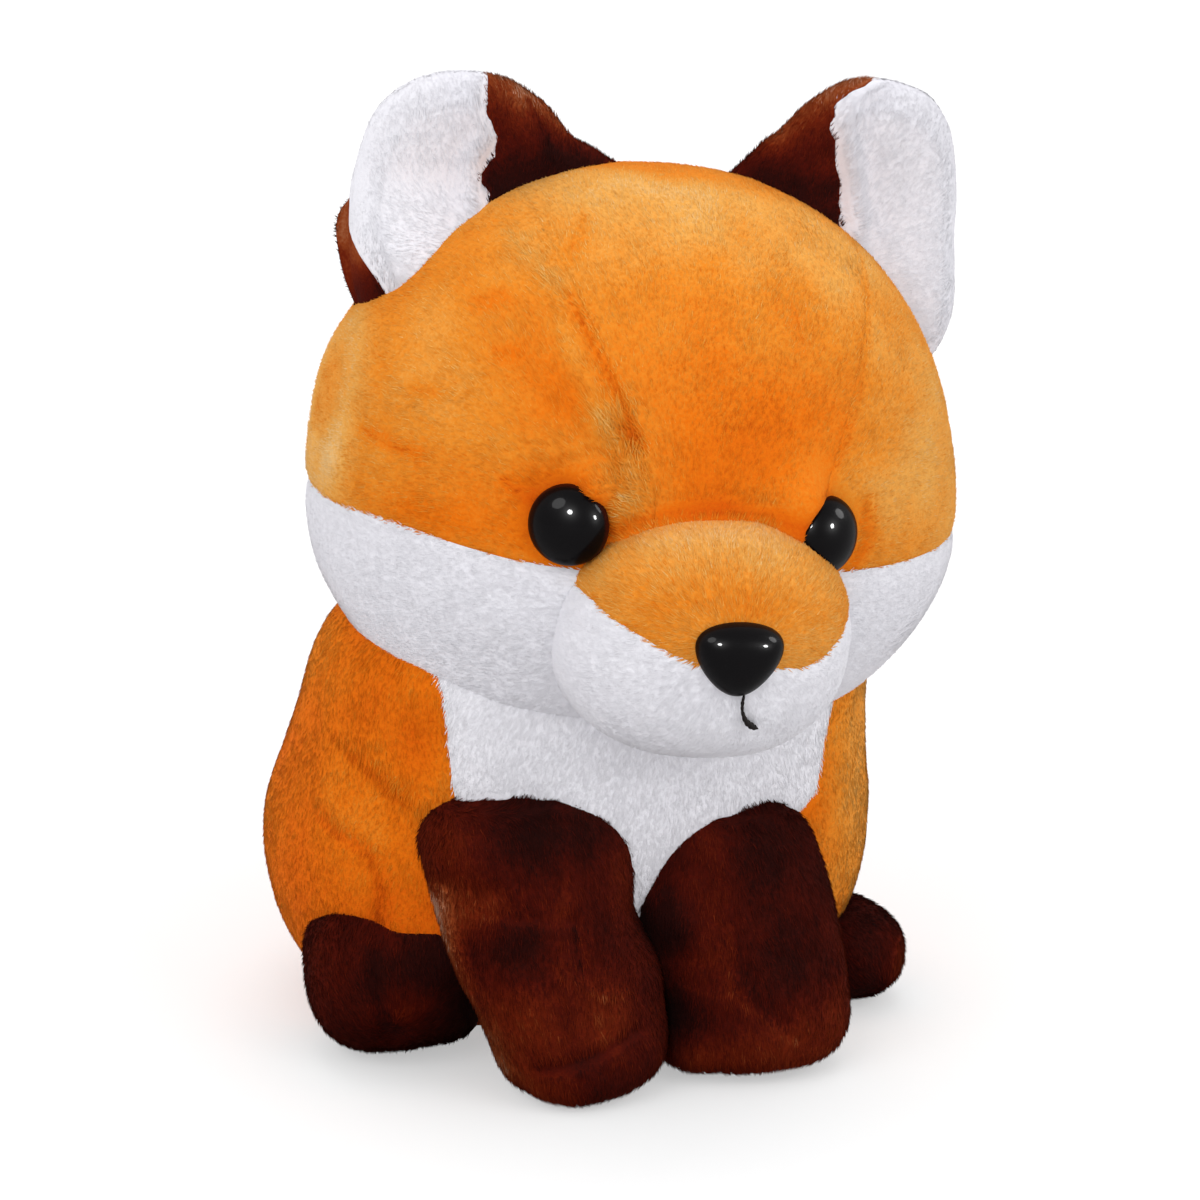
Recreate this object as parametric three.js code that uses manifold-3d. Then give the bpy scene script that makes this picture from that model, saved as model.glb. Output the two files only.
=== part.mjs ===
// Seated plush fox: pile-fabric panels sewn over fibre filling, with safety eyes, a safety nose
// and a stitched mouth. Millimetres, +Z up, the fox looks along -Y and its right side is -X.
// The origin is the middle of the flat seat.
import * as THREE from 'three';
import { mergeVertices } from 'three/addons/utils/BufferGeometryUtils.js';
import Module from 'manifold-3d';

const wasm = await Module();
wasm.setup();

// Driving dimensions: fabric, seams and clearances
const plushThickness = 4;
const earPlushThickness = 2.6;
const seamGap = 0.3;
const fillingGap = 0.8;
const floorSink = 0.5;

// Body
const bodyHeight = 140;
const bodyHalfWidth = 87;
const bodyFront = 76;
const bodyBack = 84;
const bodyLean = 30;
const bodyFullness = 2.3;
const bibHalfWidth = 58;
const bibCornerHeight = 80;
const bibPointHeight = 46;

// Head, before it is turned and sewn down over the neck of the body
const headHalfWidth = 88;
const headFront = 78;
const headBack = 82;
const headRise = 90;
const headDrop = 70;
const headFullness = 2.15;
const cheekSwellShare = 0.03;
const cheekLevelShare = 0.31;
const cheekSpreadShare = 0.49;
const neckSink = 52;
const headOverhang = 3;
const headHeight = bodyHeight + headDrop - neckSink;
const headForward = bodyLean + headOverhang;
const headAside = 7.8;
const headRollDegrees = 4.5;
const headYawDegrees = -5;

// Seams of the head: the line between crown and cheeks, and the strip over the top
const cheekSeamDrop = 7;
const cheekSeamRise = 5;
const cheekSeamNapeDrop = 50;
const napeTurnStartDegrees = 100;
const napeTurnEndDegrees = 172;
const sideTurnDegrees = 90;
const gussetBrowWidth = 24;
const gussetCrownWidth = 48;
const gussetBrowLevel = 14;
const gussetCrownLevel = 76;
const gussetAside = 7;

// Muzzle
const muzzleHalfWidth = 40.5;
const muzzleLength = 39;
const muzzleHalfHeight = 34;
const muzzleSink = 14;
const muzzleForward = headFront - muzzleSink;
const muzzleDrop = 23;
const muzzleAside = 1.6;
const muzzleFullness = 2.25;
const muzzleSeamDrop = 24;
const muzzleSeamSideDrop = 5;
const muzzleSeamLeftDrop = 16;
const muzzleSeamArch = 4;

// Safety eyes and nose, each held by a washer pressed on its post behind the fabric
const eyeRadius = 10.8;
const eyeDomeHeight = 8.2;
const eyeSpread = 35.2;
const eyesAside = -2.9;
const eyeLevel = 4.8;
const eyeCant = 0.7;
const eyeTurnDegrees = 31;
const eyeSink = 2.2;
const postRadius = 2.2;
const postOverrun = 5;
const washerRadius = 7;
const washerThickness = 1.6;
const washerSeat = 3.4;
const noseHalfWidth = 11.3;
const noseHalfHeight = 9.4;
const noseDepth = 7.4;
const noseRise = 3.2;
const noseAside = 1.6;
const noseLevel = muzzleDrop - noseRise;
const noseSink = 1.6;
const noseTaperShare = 0.2;

// Mouth: one line of thread under the nose
const threadRadius = 0.55;
const mouthDrop = 9;
const mouthTurnShare = 0.55;
const mouthReach = 6;
const mouthAside = 3.4;
const mouthTuck = 4;

// Ears, in the frame of the head
const earInset = 32;
const earCentreOut = headHalfWidth - earInset;
const earLowering = 16;
const earCentreUp = headRise - earLowering;
const earHalfWidth = 30;
const earHalfHeight = 42;
const earFrontSwell = 9;
const earBackSwell = 15;
const earSetBack = 5;
const earCurl = 6;
const earSeamInset = 8;
const earSeamOut = earCentreOut - earSeamInset;
const earDishShare = 0.45;
const earEdgeShare = 0.8;
const earAside = 3.5;
const earLift = 1.5;
const earSwingDegrees = 15;

// Front legs, their spread and reach at the shoulder and at the paw
const rightLegHeight = 96;
const leftLegHeight = 88;
const legHalfWidth = 30;
const legDepth = 26;
const legFullness = 2.3;
const rightShoulderSpread = 34;
const leftShoulderSpread = 23.5;
const rightPawSpread = 24.5;
const leftPawSpread = 30;
const shoulderSink = 14;
const pawSink = 6;
const shoulderReach = bodyFront - shoulderSink;
const pawReach = bodyFront - pawSink;

// Hind feet: the right one stands on its heel, and the left one lies flatter
const rightFootHalfWidth = 22;
const rightFootHalfLength = 28;
const rightFootHalfHeight = 24.5;
const leftFootHalfWidth = 20;
const leftFootHalfLength = 24;
const leftFootHalfHeight = 15.5;
const footFullness = 2.4;
const rightFootInset = 22;
const leftFootInset = 14;
const rightFootSpread = bodyHalfWidth - rightFootInset;
const leftFootSpread = bodyHalfWidth - leftFootInset;
const rightFootReach = 28;
const leftFootReach = 24;

// Tail
const tailRootHeight = 32;
const tailRootInset = 18;
const tailRootReach = bodyBack - tailRootInset;
const tailSweep = 48;
const tailTipOut = 36;
const tailTipUp = 72;
const tailRadius = 28;
const tailTipStartShare = 0.62;
const tailSwingDegrees = 15;

// Facets around and along the forms
const headFacets = [28, 14];
const bodyFacets = [24, 14];
const muzzleFacets = [20, 10];
const noseFacets = [20, 8];
const earFacets = [20, 8];
const legFacets = [16, 12];
const footFacets = [16, 8];
const tailFacets = [16, 12];
const seamToolRows = 4;
const roundFacets = 16;
const domeSteps = 6;
const threadSteps = 14;
const threadArcSteps = 3;

const farReach = 4 * headHalfWidth;

// Shares of the body's height and sizes at its stations, from the seat up
const bodyHeightShares = [0, 0.07, 0.21, 0.39, 0.66, 0.85, 1];
const bodyWidthShares = [0.71, 0.85, 0.965, 1, 0.93, 0.875, 0.69];
const bodyFrontShares = [0.6, 0.74, 0.91, 1, 0.92, 0.82, 0.66];
const bodyBackShares = [0.71, 0.86, 0.98, 1, 0.88, 0.76, 0.6];
const bodyLeanShares = [-0.13, -0.13, -0.07, 0, 0.43, 0.8, 1];

// The same for a front leg, from the sole up
const legHeightShares = [0, 0.04, 0.125, 0.26, 0.45, 0.65, 0.81, 0.93, 1];
const rightLegWidthShares = [0.52, 0.76, 0.9, 0.95, 1, 1.01, 0.95, 0.66, 0.08];
const leftLegWidthShares = [0.52, 0.76, 0.9, 0.95, 0.98, 0.96, 0.84, 0.55, 0.08];
const legDepthShares = [0.6, 0.87, 1, 1, 0.97, 0.97, 0.86, 0.52, 0.08];
const legSpreadShares = [0, 0, 0, 0.15, 0.5, 0.83, 1, 1, 1];
const legReachShares = [0.3, 0.1, 0, 0.15, 0.5, 0.9, 1, 1, 1];

// Tail radius along its length, from the root to the tip
const tailLengthShares = [0, 0.12, 0.35, 0.6, 0.8, 0.93, 1];
const tailRadiusShares = [0.62, 0.7, 0.92, 1, 0.84, 0.5, 0.06];

// Ear outline as shares of its half width and half height, from the inner root round the tip
const earOutlineShares = [
  [-1.47, 0.1], [-1.13, 0.45], [-0.7, 0.76], [-0.3, 0.92], [0.13, 0.96], [0.53, 0.88], [0.83, 0.67],
  [0.98, 0.29], [1, -0.14], [0.9, -0.55], [0.67, -0.86], [0.13, -1], [-0.6, -0.76], [-1.2, -0.33],
];

const plushOrange = { color: 0xe08f3a, roughness: 0.95, metalness: 0 };
const plushWhite = { color: 0xe6e6ec, roughness: 0.95, metalness: 0 };
const plushBrown = { color: 0x4a1a0c, roughness: 0.95, metalness: 0 };
const fibre = { color: 0xf4f2ee, roughness: 1, metalness: 0 };
const glossyBlack = { color: 0x0b0908, roughness: 0.12, metalness: 0 };
const washerPlastic = { color: 0xd8d8d4, roughness: 0.5, metalness: 0 };
const blackThread = { color: 0x1c1210, roughness: 0.8, metalness: 0 };

// Smooth curve through a table of values, by cubic steps whose slopes come from the neighbours
function smoothAt(places, values, at) {
  const slope = (i) => {
    const low = Math.max(i - 1, 0);
    const high = Math.min(i + 1, places.length - 1);
    return (values[high] - values[low]) / (places[high] - places[low]);
  };
  const found = places.findIndex((place) => place > at);
  const i = found < 0 ? places.length - 2 : Math.max(found - 1, 0);
  const span = places[i + 1] - places[i];
  const t = (at - places[i]) / span;
  const rise = values[i + 1] - values[i];
  const start = slope(i) * span;
  const end = slope(i + 1) * span;
  return values[i] + start * t + (3 * rise - 2 * start - end) * t * t + (start + end - 2 * rise) * t * t * t;
}

// Filling has half the facets of its skin, with its corners under the skin's corners
const halfRound = ([around, rows]) => [around / 2, rows / 2];
const halfFlatEnded = ([around, rows]) => [around / 2, rows / 2 + 1];

// Closed surface from rings between two poles; place(turn, rise) takes shares from 0 to 1
function closedForm([around, rows], place) {
  const points = [place(0, 0)];
  for (let row = 1; row < rows; row += 1) {
    for (let step = 0; step < around; step += 1) {
      points.push(place(step / around, row / rows));
    }
  }
  points.push(place(0, 1));
  const last = points.length - 1;
  const top = last - around;
  const faces = [];
  for (let step = 0; step < around; step += 1) {
    const next = (step + 1) % around;
    faces.push(0, 1 + next, 1 + step);
    for (let low = 1; low < top; low += around) {
      const high = low + around;
      faces.push(low + step, low + next, high + next);
      faces.push(low + step, high + next, high + step);
    }
    faces.push(last, top + step, top + next);
  }
  const geometry = new THREE.BufferGeometry();
  const flat = points.flatMap((point) => point.toArray());
  geometry.setAttribute('position', new THREE.Float32BufferAttribute(flat, 3));
  geometry.setIndex(faces);
  return geometry;
}

// Rounded form with its own reach to each side, fuller than an ellipsoid
function roundedForm({ side, front, back, up, down, fullness }, facets, shape = (point) => point) {
  return closedForm(facets, (turn, rise) => {
    const around = 2 * Math.PI * turn;
    const tilt = Math.PI * (rise - 1 / 2);
    const way = new THREE.Vector3(Math.sin(around), -Math.cos(around), 0).multiplyScalar(Math.cos(tilt));
    way.z = Math.sin(tilt);
    const sum = Math.abs(way.x / side) ** fullness
      + Math.abs(way.y / (way.y > 0 ? back : front)) ** fullness
      + Math.abs(way.z / (way.z > 0 ? up : down)) ** fullness;
    return shape(way.multiplyScalar(sum ** (-1 / fullness)));
  });
}

// Flat-ended form through stations; section(share) gives its centre and its reach each way
function stationForm(facets, fullness, section) {
  const rows = facets[1];
  return closedForm(facets, (turn, rise) => {
    const share = Math.min(Math.max((rise * rows - 1) / (rows - 2), 0), 1);
    const { x, y, z, side, front, back } = section(share);
    if (rise === 0 || rise === 1) {
      return new THREE.Vector3(x, y, z);
    }
    const around = 2 * Math.PI * turn;
    const across = Math.sin(around);
    const along = -Math.cos(around);
    const depth = along > 0 ? back : front;
    const sum = Math.abs(across / side) ** fullness + Math.abs(along / depth) ** fullness;
    const reach = sum ** (-1 / fullness);
    return new THREE.Vector3(x + across * reach, y + along * reach, z);
  });
}

function toSolid(geometry) {
  const bare = geometry.clone();
  bare.deleteAttribute('normal');
  bare.deleteAttribute('uv');
  const merged = mergeVertices(bare);
  const corners = merged.index.array;
  const kept = [];
  for (let i = 0; i < corners.length; i += 3) {
    const [a, b, c] = [corners[i], corners[i + 1], corners[i + 2]];
    if (a !== b && b !== c && c !== a) {
      kept.push(a, b, c);
    }
  }
  return new wasm.Manifold(new wasm.Mesh({
    numProp: 3,
    vertProperties: merged.attributes.position.array,
    triVerts: Uint32Array.from(kept),
  }));
}

function toGeometry(solid) {
  const { vertProperties, triVerts } = solid.getMesh();
  const geometry = new THREE.BufferGeometry();
  geometry.setAttribute('position', new THREE.BufferAttribute(vertProperties, 3));
  geometry.setIndex(new THREE.BufferAttribute(triVerts, 1));
  geometry.computeVertexNormals();
  return geometry;
}

function cutBy(solid, ...tools) {
  return tools.reduce((rest, tool) => rest.subtract(tool), solid);
}

function addPiece(group, name, look, solid) {
  const mesh = new THREE.Mesh(toGeometry(solid), new THREE.MeshStandardMaterial(look));
  mesh.name = name;
  group.add(mesh);
  return mesh;
}

// Block between two corners, as a cutting tool
function block(low, high) {
  const size = new THREE.Vector3().subVectors(high, low);
  const geometry = new THREE.BoxGeometry(size.x, size.y, size.z);
  const middle = new THREE.Vector3().addVectors(low, high).multiplyScalar(1 / 2);
  return toSolid(geometry.translate(middle.x, middle.y, middle.z));
}

// Front-view outline pushed through the depth of the toy, between two places on Y
function throughDepth(outline, nearY, farY) {
  const shape = new THREE.Shape(outline.map(([x, z]) => new THREE.Vector2(x, z)));
  const geometry = new THREE.ExtrudeGeometry(shape, { depth: farY - nearY, bevelEnabled: false });
  geometry.rotateX(Math.PI / 2);
  return toSolid(geometry.translate(0, farY, 0));
}

const lookAside = (side, right, left) => (side < 0 ? right : left);
const sideName = (side) => (side < 0 ? 'right' : 'left');
const radians = THREE.MathUtils.degToRad;

const fox = new THREE.Group();
const head = new THREE.Group();
head.position.set(headAside, -headForward, headHeight);
head.rotation.set(0, radians(headRollDegrees), radians(headYawDegrees), 'ZYX');
head.updateMatrix();
fox.add(head);

// Head forms, in the frame of the head; inset is how far the surface lies under the outside
function headForm(inset, facets = headFacets) {
  const size = {
    side: headHalfWidth - inset,
    front: headFront - inset,
    back: headBack - inset,
    up: headRise - inset,
    down: headDrop - inset,
    fullness: headFullness,
  };
  return roundedForm(size, facets, (point) => {
    const level = (point.z + cheekLevelShare * headDrop) / (cheekSpreadShare * headDrop);
    point.x *= 1 + cheekSwellShare * Math.exp(-level * level);
    return point;
  });
}

function muzzleForm(inset, facets = muzzleFacets) {
  const size = {
    side: muzzleHalfWidth - inset,
    front: muzzleLength - inset,
    back: muzzleLength - inset,
    up: muzzleHalfHeight - inset,
    down: muzzleHalfHeight - inset,
    fullness: muzzleFullness,
  };
  return roundedForm(size, facets).translate(muzzleAside, -muzzleForward, -muzzleDrop);
}

// Depth of the front of the head, and of the muzzle, at a place in the front view
function headFrontAt(x, z) {
  const rest = 1 - Math.abs(x / headHalfWidth) ** headFullness - (z / headRise) ** headFullness;
  return headFront * rest ** (1 / headFullness);
}

function muzzleFrontAt(x, z) {
  const rest = 1 - Math.abs((x - muzzleAside) / muzzleHalfWidth) ** muzzleFullness
    - Math.abs((z + muzzleDrop) / muzzleHalfHeight) ** muzzleFullness;
  return muzzleForward + muzzleLength * rest ** (1 / muzzleFullness);
}

// Everything under the seam between crown and cheeks; the seam drops to the nape behind
function underCheekSeam(lift) {
  const seamHeight = (turn) => {
    const away = Math.abs(turn < 1 / 2 ? turn : turn - 1) * 4 * sideTurnDegrees;
    const back = THREE.MathUtils.smoothstep(away, napeTurnStartDegrees, napeTurnEndDegrees);
    const front = -cheekSeamDrop + cheekSeamRise * Math.min(away / sideTurnDegrees, 1) ** 2;
    return THREE.MathUtils.lerp(front, -cheekSeamNapeDrop, back) + lift;
  };
  const reachAt = [0, farReach, farReach, headHalfWidth / 4, 0];
  return toSolid(closedForm([headFacets[0], seamToolRows], (turn, rise) => {
    const row = Math.round(seamToolRows * rise);
    const turned = turn + 1 / (2 * headFacets[0]);
    const angle = 2 * Math.PI * turned;
    const height = row < 2 ? -farReach : seamHeight(turned % 1);
    return new THREE.Vector3(Math.sin(angle) * reachAt[row], -Math.cos(angle) * reachAt[row], height);
  }));
}

// Strip over the top of the head, narrow at the brow and wide at the crown, sewn a little to the left
function gussetStrip(grow) {
  const half = [
    [gussetBrowWidth + grow, -farReach],
    [gussetBrowWidth + grow, gussetBrowLevel],
    [gussetCrownWidth + grow, gussetCrownLevel],
    [gussetCrownWidth + grow, farReach],
  ];
  const mirrored = half.map(([x, z]) => [-x, z]).reverse();
  const strip = [...half, ...mirrored].map(([x, z]) => [x + gussetAside, z]);
  return throughDepth(strip, -farReach, farReach);
}

// Depth of a washer's face behind its fitting, which is sunk into the fabric that it clamps
const washerDepth = (sink) => plushThickness - sink + washerSeat;
const postLength = (sink) => washerDepth(sink) + washerThickness + postOverrun;

// Safety fittings: a dome with its post behind, made along +Y and turned to face outwards
function postProfile(headPoints, grow) {
  const post = postRadius + grow;
  const end = -postLength(eyeSink) - grow;
  const outline = [[0, end], [post, end], [post, -grow], ...headPoints];
  return new THREE.LatheGeometry(outline.map(([x, y]) => new THREE.Vector2(x, y)), roundFacets);
}

function eyeForm(grow) {
  const radius = eyeRadius + grow;
  const arc = [];
  for (let i = 0; i <= domeSteps; i += 1) {
    const angle = (Math.PI / 2) * (i / domeSteps);
    const reach = i === domeSteps ? 0 : radius * Math.cos(angle);
    arc.push([reach, (eyeDomeHeight + grow) * Math.sin(angle)]);
  }
  return postProfile([[radius, -grow], ...(grow > 0 ? arc : arc.slice(1))], grow);
}

function washerForm(sink, grow) {
  const inner = postRadius + seamGap - grow;
  const outer = washerRadius + grow;
  const top = -washerDepth(sink) + grow;
  const low = top - washerThickness - 2 * grow;
  const outline = [[inner, low], [outer, low], [outer, top], [inner, top], [inner, low]];
  return new THREE.LatheGeometry(outline.map(([x, y]) => new THREE.Vector2(x, y)), roundFacets);
}

function turnedOut(geometry, place, way) {
  const turn = new THREE.Quaternion().setFromUnitVectors(new THREE.Vector3(0, 1, 0), way);
  return geometry.applyQuaternion(turn).translate(place.x, place.y, place.z);
}

function eyePlace(side) {
  const angle = radians(eyeTurnDegrees);
  const way = new THREE.Vector3(side * Math.sin(angle), -Math.cos(angle), 0);
  const x = side * eyeSpread + eyesAside;
  const z = eyeLevel - side * eyeCant;
  const place = new THREE.Vector3(x, -headFrontAt(x, z), z).addScaledVector(way, -eyeSink);
  return { place, way };
}

const nosePlace = new THREE.Vector3(noseAside, noseSink - muzzleFrontAt(noseAside, -noseLevel), -noseLevel);
const forwards = new THREE.Vector3(0, -1, 0);

// Nose: a rounded triangle, widest near the top, with a post like an eye's
function noseForm(grow) {
  const dome = closedForm(noseFacets, (turn, rise) => {
    const around = 2 * Math.PI * turn;
    const tilt = (Math.PI / 2) * Math.min(2 * rise, 1);
    const front = rise > 1 / 2 ? (Math.PI / 2) * (2 * rise - 1) : 0;
    const reach = rise > 1 / 2 ? Math.cos(front) : Math.sin(tilt);
    const up = -Math.cos(around);
    const wide = (noseHalfWidth + grow) * (1 + noseTaperShare * up);
    const x = Math.sin(around) * wide * reach;
    const z = up * (noseHalfHeight + grow) * reach;
    const y = rise > 1 / 2 ? -(noseDepth + grow) * Math.sin(front) : grow;
    return new THREE.Vector3(x, y, z);
  });
  const length = postLength(noseSink) + noseSink + grow;
  const post = new THREE.CylinderGeometry(postRadius + grow, postRadius + grow, length, roundFacets);
  post.translate(0, length / 2, 0);
  return toSolid(dome.translate(nosePlace.x, nosePlace.y, nosePlace.z))
    .add(toSolid(post.translate(nosePlace.x, nosePlace.y - noseSink, nosePlace.z)));
}

// Mouth thread: straight down from the nose, then a hook to the fox's left, lying on the muzzle
function mouthForm() {
  const top = -noseLevel - noseHalfHeight - threadRadius;
  const route = [
    [mouthAside, top],
    [mouthAside, top - mouthTurnShare * mouthDrop],
    [mouthAside + mouthReach / 4, top - mouthDrop],
    [mouthAside + mouthReach, top - mouthDrop - mouthTuck / 2],
  ];
  const lift = threadRadius + seamGap;
  const points = route.map(([x, z]) => new THREE.Vector3(x, -muzzleFrontAt(x, z) - lift, z));
  const curve = new THREE.CatmullRomCurve3(points);
  const section = new THREE.Shape();
  section.absarc(0, 0, threadRadius, 0, 2 * Math.PI);
  return toSolid(new THREE.ExtrudeGeometry(section, {
    steps: threadSteps,
    curveSegments: threadArcSteps,
    bevelEnabled: false,
    extrudePath: curve,
  }));
}

// Ear: a pillow over its outline, dished in front and curled back at its outer edge
function earForm(side, inset, facets = earFacets) {
  const corners = earOutlineShares.map(([x, z]) => new THREE.Vector3(x * earHalfWidth, 0, z * earHalfHeight));
  const outline = new THREE.CatmullRomCurve3(corners, true, 'catmullrom', 1 / 2);
  const shrink = 1 - inset / earHalfWidth;
  return closedForm(facets, (turn, rise) => {
    const edge = outline.getPoint(side < 0 ? turn : 1 - turn);
    const tilt = Math.PI * (rise - 1 / 2);
    const spread = Math.cos(tilt) ** earEdgeShare * shrink;
    const out = edge.x * spread;
    const inFront = tilt > 0;
    const dish = 1 - earDishShare * Math.max(1 - 2 * Math.cos(tilt) ** 2, 0);
    const swell = inFront ? -(earFrontSwell - inset) * dish : -(earBackSwell - inset);
    const curl = earCurl * ((out + earCentreOut - earSeamOut) / (earHalfWidth + earSetBack)) ** 2;
    return new THREE.Vector3(
      side * (out + earCentreOut) + earAside,
      earSetBack + swell * Math.sin(tilt) + curl,
      edge.z * spread + earCentreUp + side * earLift,
    );
  });
}

// Axis along the root of an ear, from its inner end to its outer end, in the frame of the head
function earRoot(side) {
  const inner = new THREE.Vector3(side * earCentreOut / 4 + earAside, earSetBack, headRise);
  const outer = new THREE.Vector3(side * (headHalfWidth - earSetBack) + earAside, earSetBack, headRise / 2);
  const axis = new THREE.Vector3().subVectors(outer, inner).normalize();
  return { inner, outer, axis };
}

// A form turned about an axis through a point, as a solid
function turnedSolid(geometry, point, axis, degrees) {
  const turned = geometry.clone();
  turned.translate(-point.x, -point.y, -point.z);
  turned.applyQuaternion(new THREE.Quaternion().setFromAxisAngle(axis, radians(degrees)));
  turned.translate(point.x, point.y, point.z);
  return toSolid(turned);
}

// All the room that a form takes up, seen from a piece that swings both ways about an axis
function sweptRoom(geometry, point, axis, degrees) {
  const stepShares = [-1, -1 / 2, 0, 1 / 2, 1];
  const turned = stepShares.map((share) => turnedSolid(geometry, point, axis, share * degrees));
  return turned.reduce((sum, solid) => sum.add(solid));
}

// Body, seat down; shrinking keeps the ends flat
function bodyForm(inset, facets = bodyFacets) {
  const shrink = 1 - inset / bodyHalfWidth;
  const at = (shares, size, share) => size * smoothAt(bodyHeightShares, shares, share);
  return stationForm(facets, bodyFullness, (share) => ({
    x: 0,
    y: -at(bodyLeanShares, bodyLean, share),
    z: inset + share * (bodyHeight - 2 * inset),
    side: shrink * at(bodyWidthShares, bodyHalfWidth, share),
    front: shrink * at(bodyFrontShares, bodyFront, share),
    back: shrink * at(bodyBackShares, bodyBack, share),
  }));
}

// White bib: straight sides from the chin down, then a point between the legs
function bibRegion(grow) {
  const half = [
    [bibHalfWidth + grow, farReach],
    [bibHalfWidth + grow, bibCornerHeight - grow],
    [0, bibPointHeight - grow],
  ];
  const mirrored = half.slice(0, -1).map(([x, z]) => [-x, z]).reverse();
  return throughDepth([...half, ...mirrored], -farReach, 0);
}

function legForm(side, inset, facets = legFacets) {
  const shrink = 1 - inset / legHalfWidth;
  const height = lookAside(side, rightLegHeight, leftLegHeight);
  const spread = lookAside(side, rightShoulderSpread, leftShoulderSpread);
  const pawSpread = lookAside(side, rightPawSpread, leftPawSpread);
  const widthShares = lookAside(side, rightLegWidthShares, leftLegWidthShares);
  const at = (shares, share) => smoothAt(legHeightShares, shares, share);
  return stationForm(facets, legFullness, (share) => {
    const depth = shrink * legDepth * at(legDepthShares, share);
    return {
      x: side * THREE.MathUtils.lerp(pawSpread, spread, at(legSpreadShares, share)),
      y: -THREE.MathUtils.lerp(pawReach, shoulderReach, at(legReachShares, share)),
      z: inset + share * (height - 2 * inset),
      side: shrink * legHalfWidth * at(widthShares, share),
      front: depth,
      back: depth,
    };
  });
}

function footForm(side, inset, facets = footFacets) {
  const halfLength = lookAside(side, rightFootHalfLength, leftFootHalfLength);
  const halfHeight = lookAside(side, rightFootHalfHeight, leftFootHalfHeight);
  const size = {
    side: lookAside(side, rightFootHalfWidth, leftFootHalfWidth) - inset,
    front: halfLength - inset,
    back: halfLength - inset,
    up: halfHeight - inset,
    down: halfHeight - inset,
    fullness: footFullness,
  };
  const spread = side * lookAside(side, rightFootSpread, leftFootSpread);
  const reach = lookAside(side, rightFootReach, leftFootReach);
  return roundedForm(size, facets).translate(spread, -reach, halfHeight - floorSink);
}

// Tail along a curve that leaves the back of the body and turns up
const tailRoot = new THREE.Vector3(0, tailRootReach, tailRootHeight);
const tailCurve = new THREE.QuadraticBezierCurve3(
  tailRoot,
  new THREE.Vector3(0, tailRootReach + tailSweep, tailRootHeight),
  new THREE.Vector3(0, tailRootReach + tailTipOut, tailRootHeight + tailTipUp),
);

function tailForm(inset, facets = tailFacets) {
  const shrink = 1 - inset / tailRadius;
  const rows = facets[1];
  const trim = inset / tailCurve.getLength();
  return closedForm(facets, (turn, rise) => {
    const share = Math.min(Math.max((rise * rows - 1) / (rows - 2), 0), 1);
    const along = trim + share * (1 - 2 * trim);
    const centre = tailCurve.getPointAt(along);
    const tangent = tailCurve.getTangentAt(along);
    const angle = 2 * Math.PI * turn;
    const radius = shrink * tailRadius * smoothAt(tailLengthShares, tailRadiusShares, share);
    const reach = rise === 0 || rise === 1 ? 0 : radius;
    const sideways = new THREE.Vector3(1, 0, 0);
    const upwards = new THREE.Vector3().crossVectors(sideways, tangent);
    centre.addScaledVector(sideways, Math.cos(angle) * reach);
    return centre.addScaledVector(upwards, -Math.sin(angle) * reach);
  });
}

// White end of the tail: all that lies past a plane square to its curve
function tailTipRegion(back) {
  const centre = tailCurve.getPointAt(tailTipStartShare);
  const tangent = tailCurve.getTangentAt(tailTipStartShare);
  const size = 2 * (tailTipUp + tailRadius);
  const geometry = new THREE.BoxGeometry(size, size, size);
  geometry.translate(0, size / 2 + back, 0);
  return toSolid(turnedOut(geometry, centre, tangent));
}

// Fixed tools and whole forms used for cutting
const floorBlock = block(
  new THREE.Vector3(-farReach, -farReach, -farReach),
  new THREE.Vector3(farReach, farReach, 0),
);
const headSolidOut = toSolid(headForm(-seamGap));
const muzzleSolidOut = toSolid(muzzleForm(-seamGap));
const headInFox = toSolid(headForm(-seamGap).applyMatrix4(head.matrix));
const muzzleInFox = toSolid(muzzleForm(-seamGap).applyMatrix4(head.matrix));
const bodyOut = toSolid(bodyForm(-seamGap));

// Half of space on the other side of the middle, with half of the seam's gap
function otherSide(side) {
  const edge = side * seamGap / 2;
  const low = new THREE.Vector3(side < 0 ? edge : -farReach, -farReach, -farReach);
  const high = new THREE.Vector3(side < 0 ? farReach : edge, farReach, farReach);
  return block(low, high);
}

// Room that each eye takes in the skins, and that its washer takes in the filling
const eyeRooms = [];
const eyeWasherRooms = [];
for (const side of [-1, 1]) {
  const { place, way } = eyePlace(side);
  eyeRooms.push(toSolid(turnedOut(eyeForm(seamGap), place, way)));
  eyeWasherRooms.push(toSolid(turnedOut(washerForm(eyeSink, seamGap), place, way)));
}

function buildEyes() {
  for (const side of [-1, 1]) {
    const { place, way } = eyePlace(side);
    const name = sideName(side);
    addPiece(head, `eye_${name}`, glossyBlack, toSolid(turnedOut(eyeForm(0), place, way)));
    const washer = turnedOut(washerForm(eyeSink, 0), place, way);
    addPiece(head, `eye_washer_${name}`, washerPlastic, toSolid(washer));
  }
}

function buildNose() {
  addPiece(head, 'nose', glossyBlack, noseForm(0));
  const washer = turnedOut(washerForm(noseSink, 0), nosePlace, forwards);
  addPiece(head, 'nose_washer', washerPlastic, toSolid(washer));
  addPiece(head, 'mouth_stitch', blackThread, mouthForm());
  const washerRoom = turnedOut(washerForm(noseSink, seamGap), nosePlace, forwards);
  return { skinHole: noseForm(seamGap), washerRoom: toSolid(washerRoom) };
}

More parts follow.
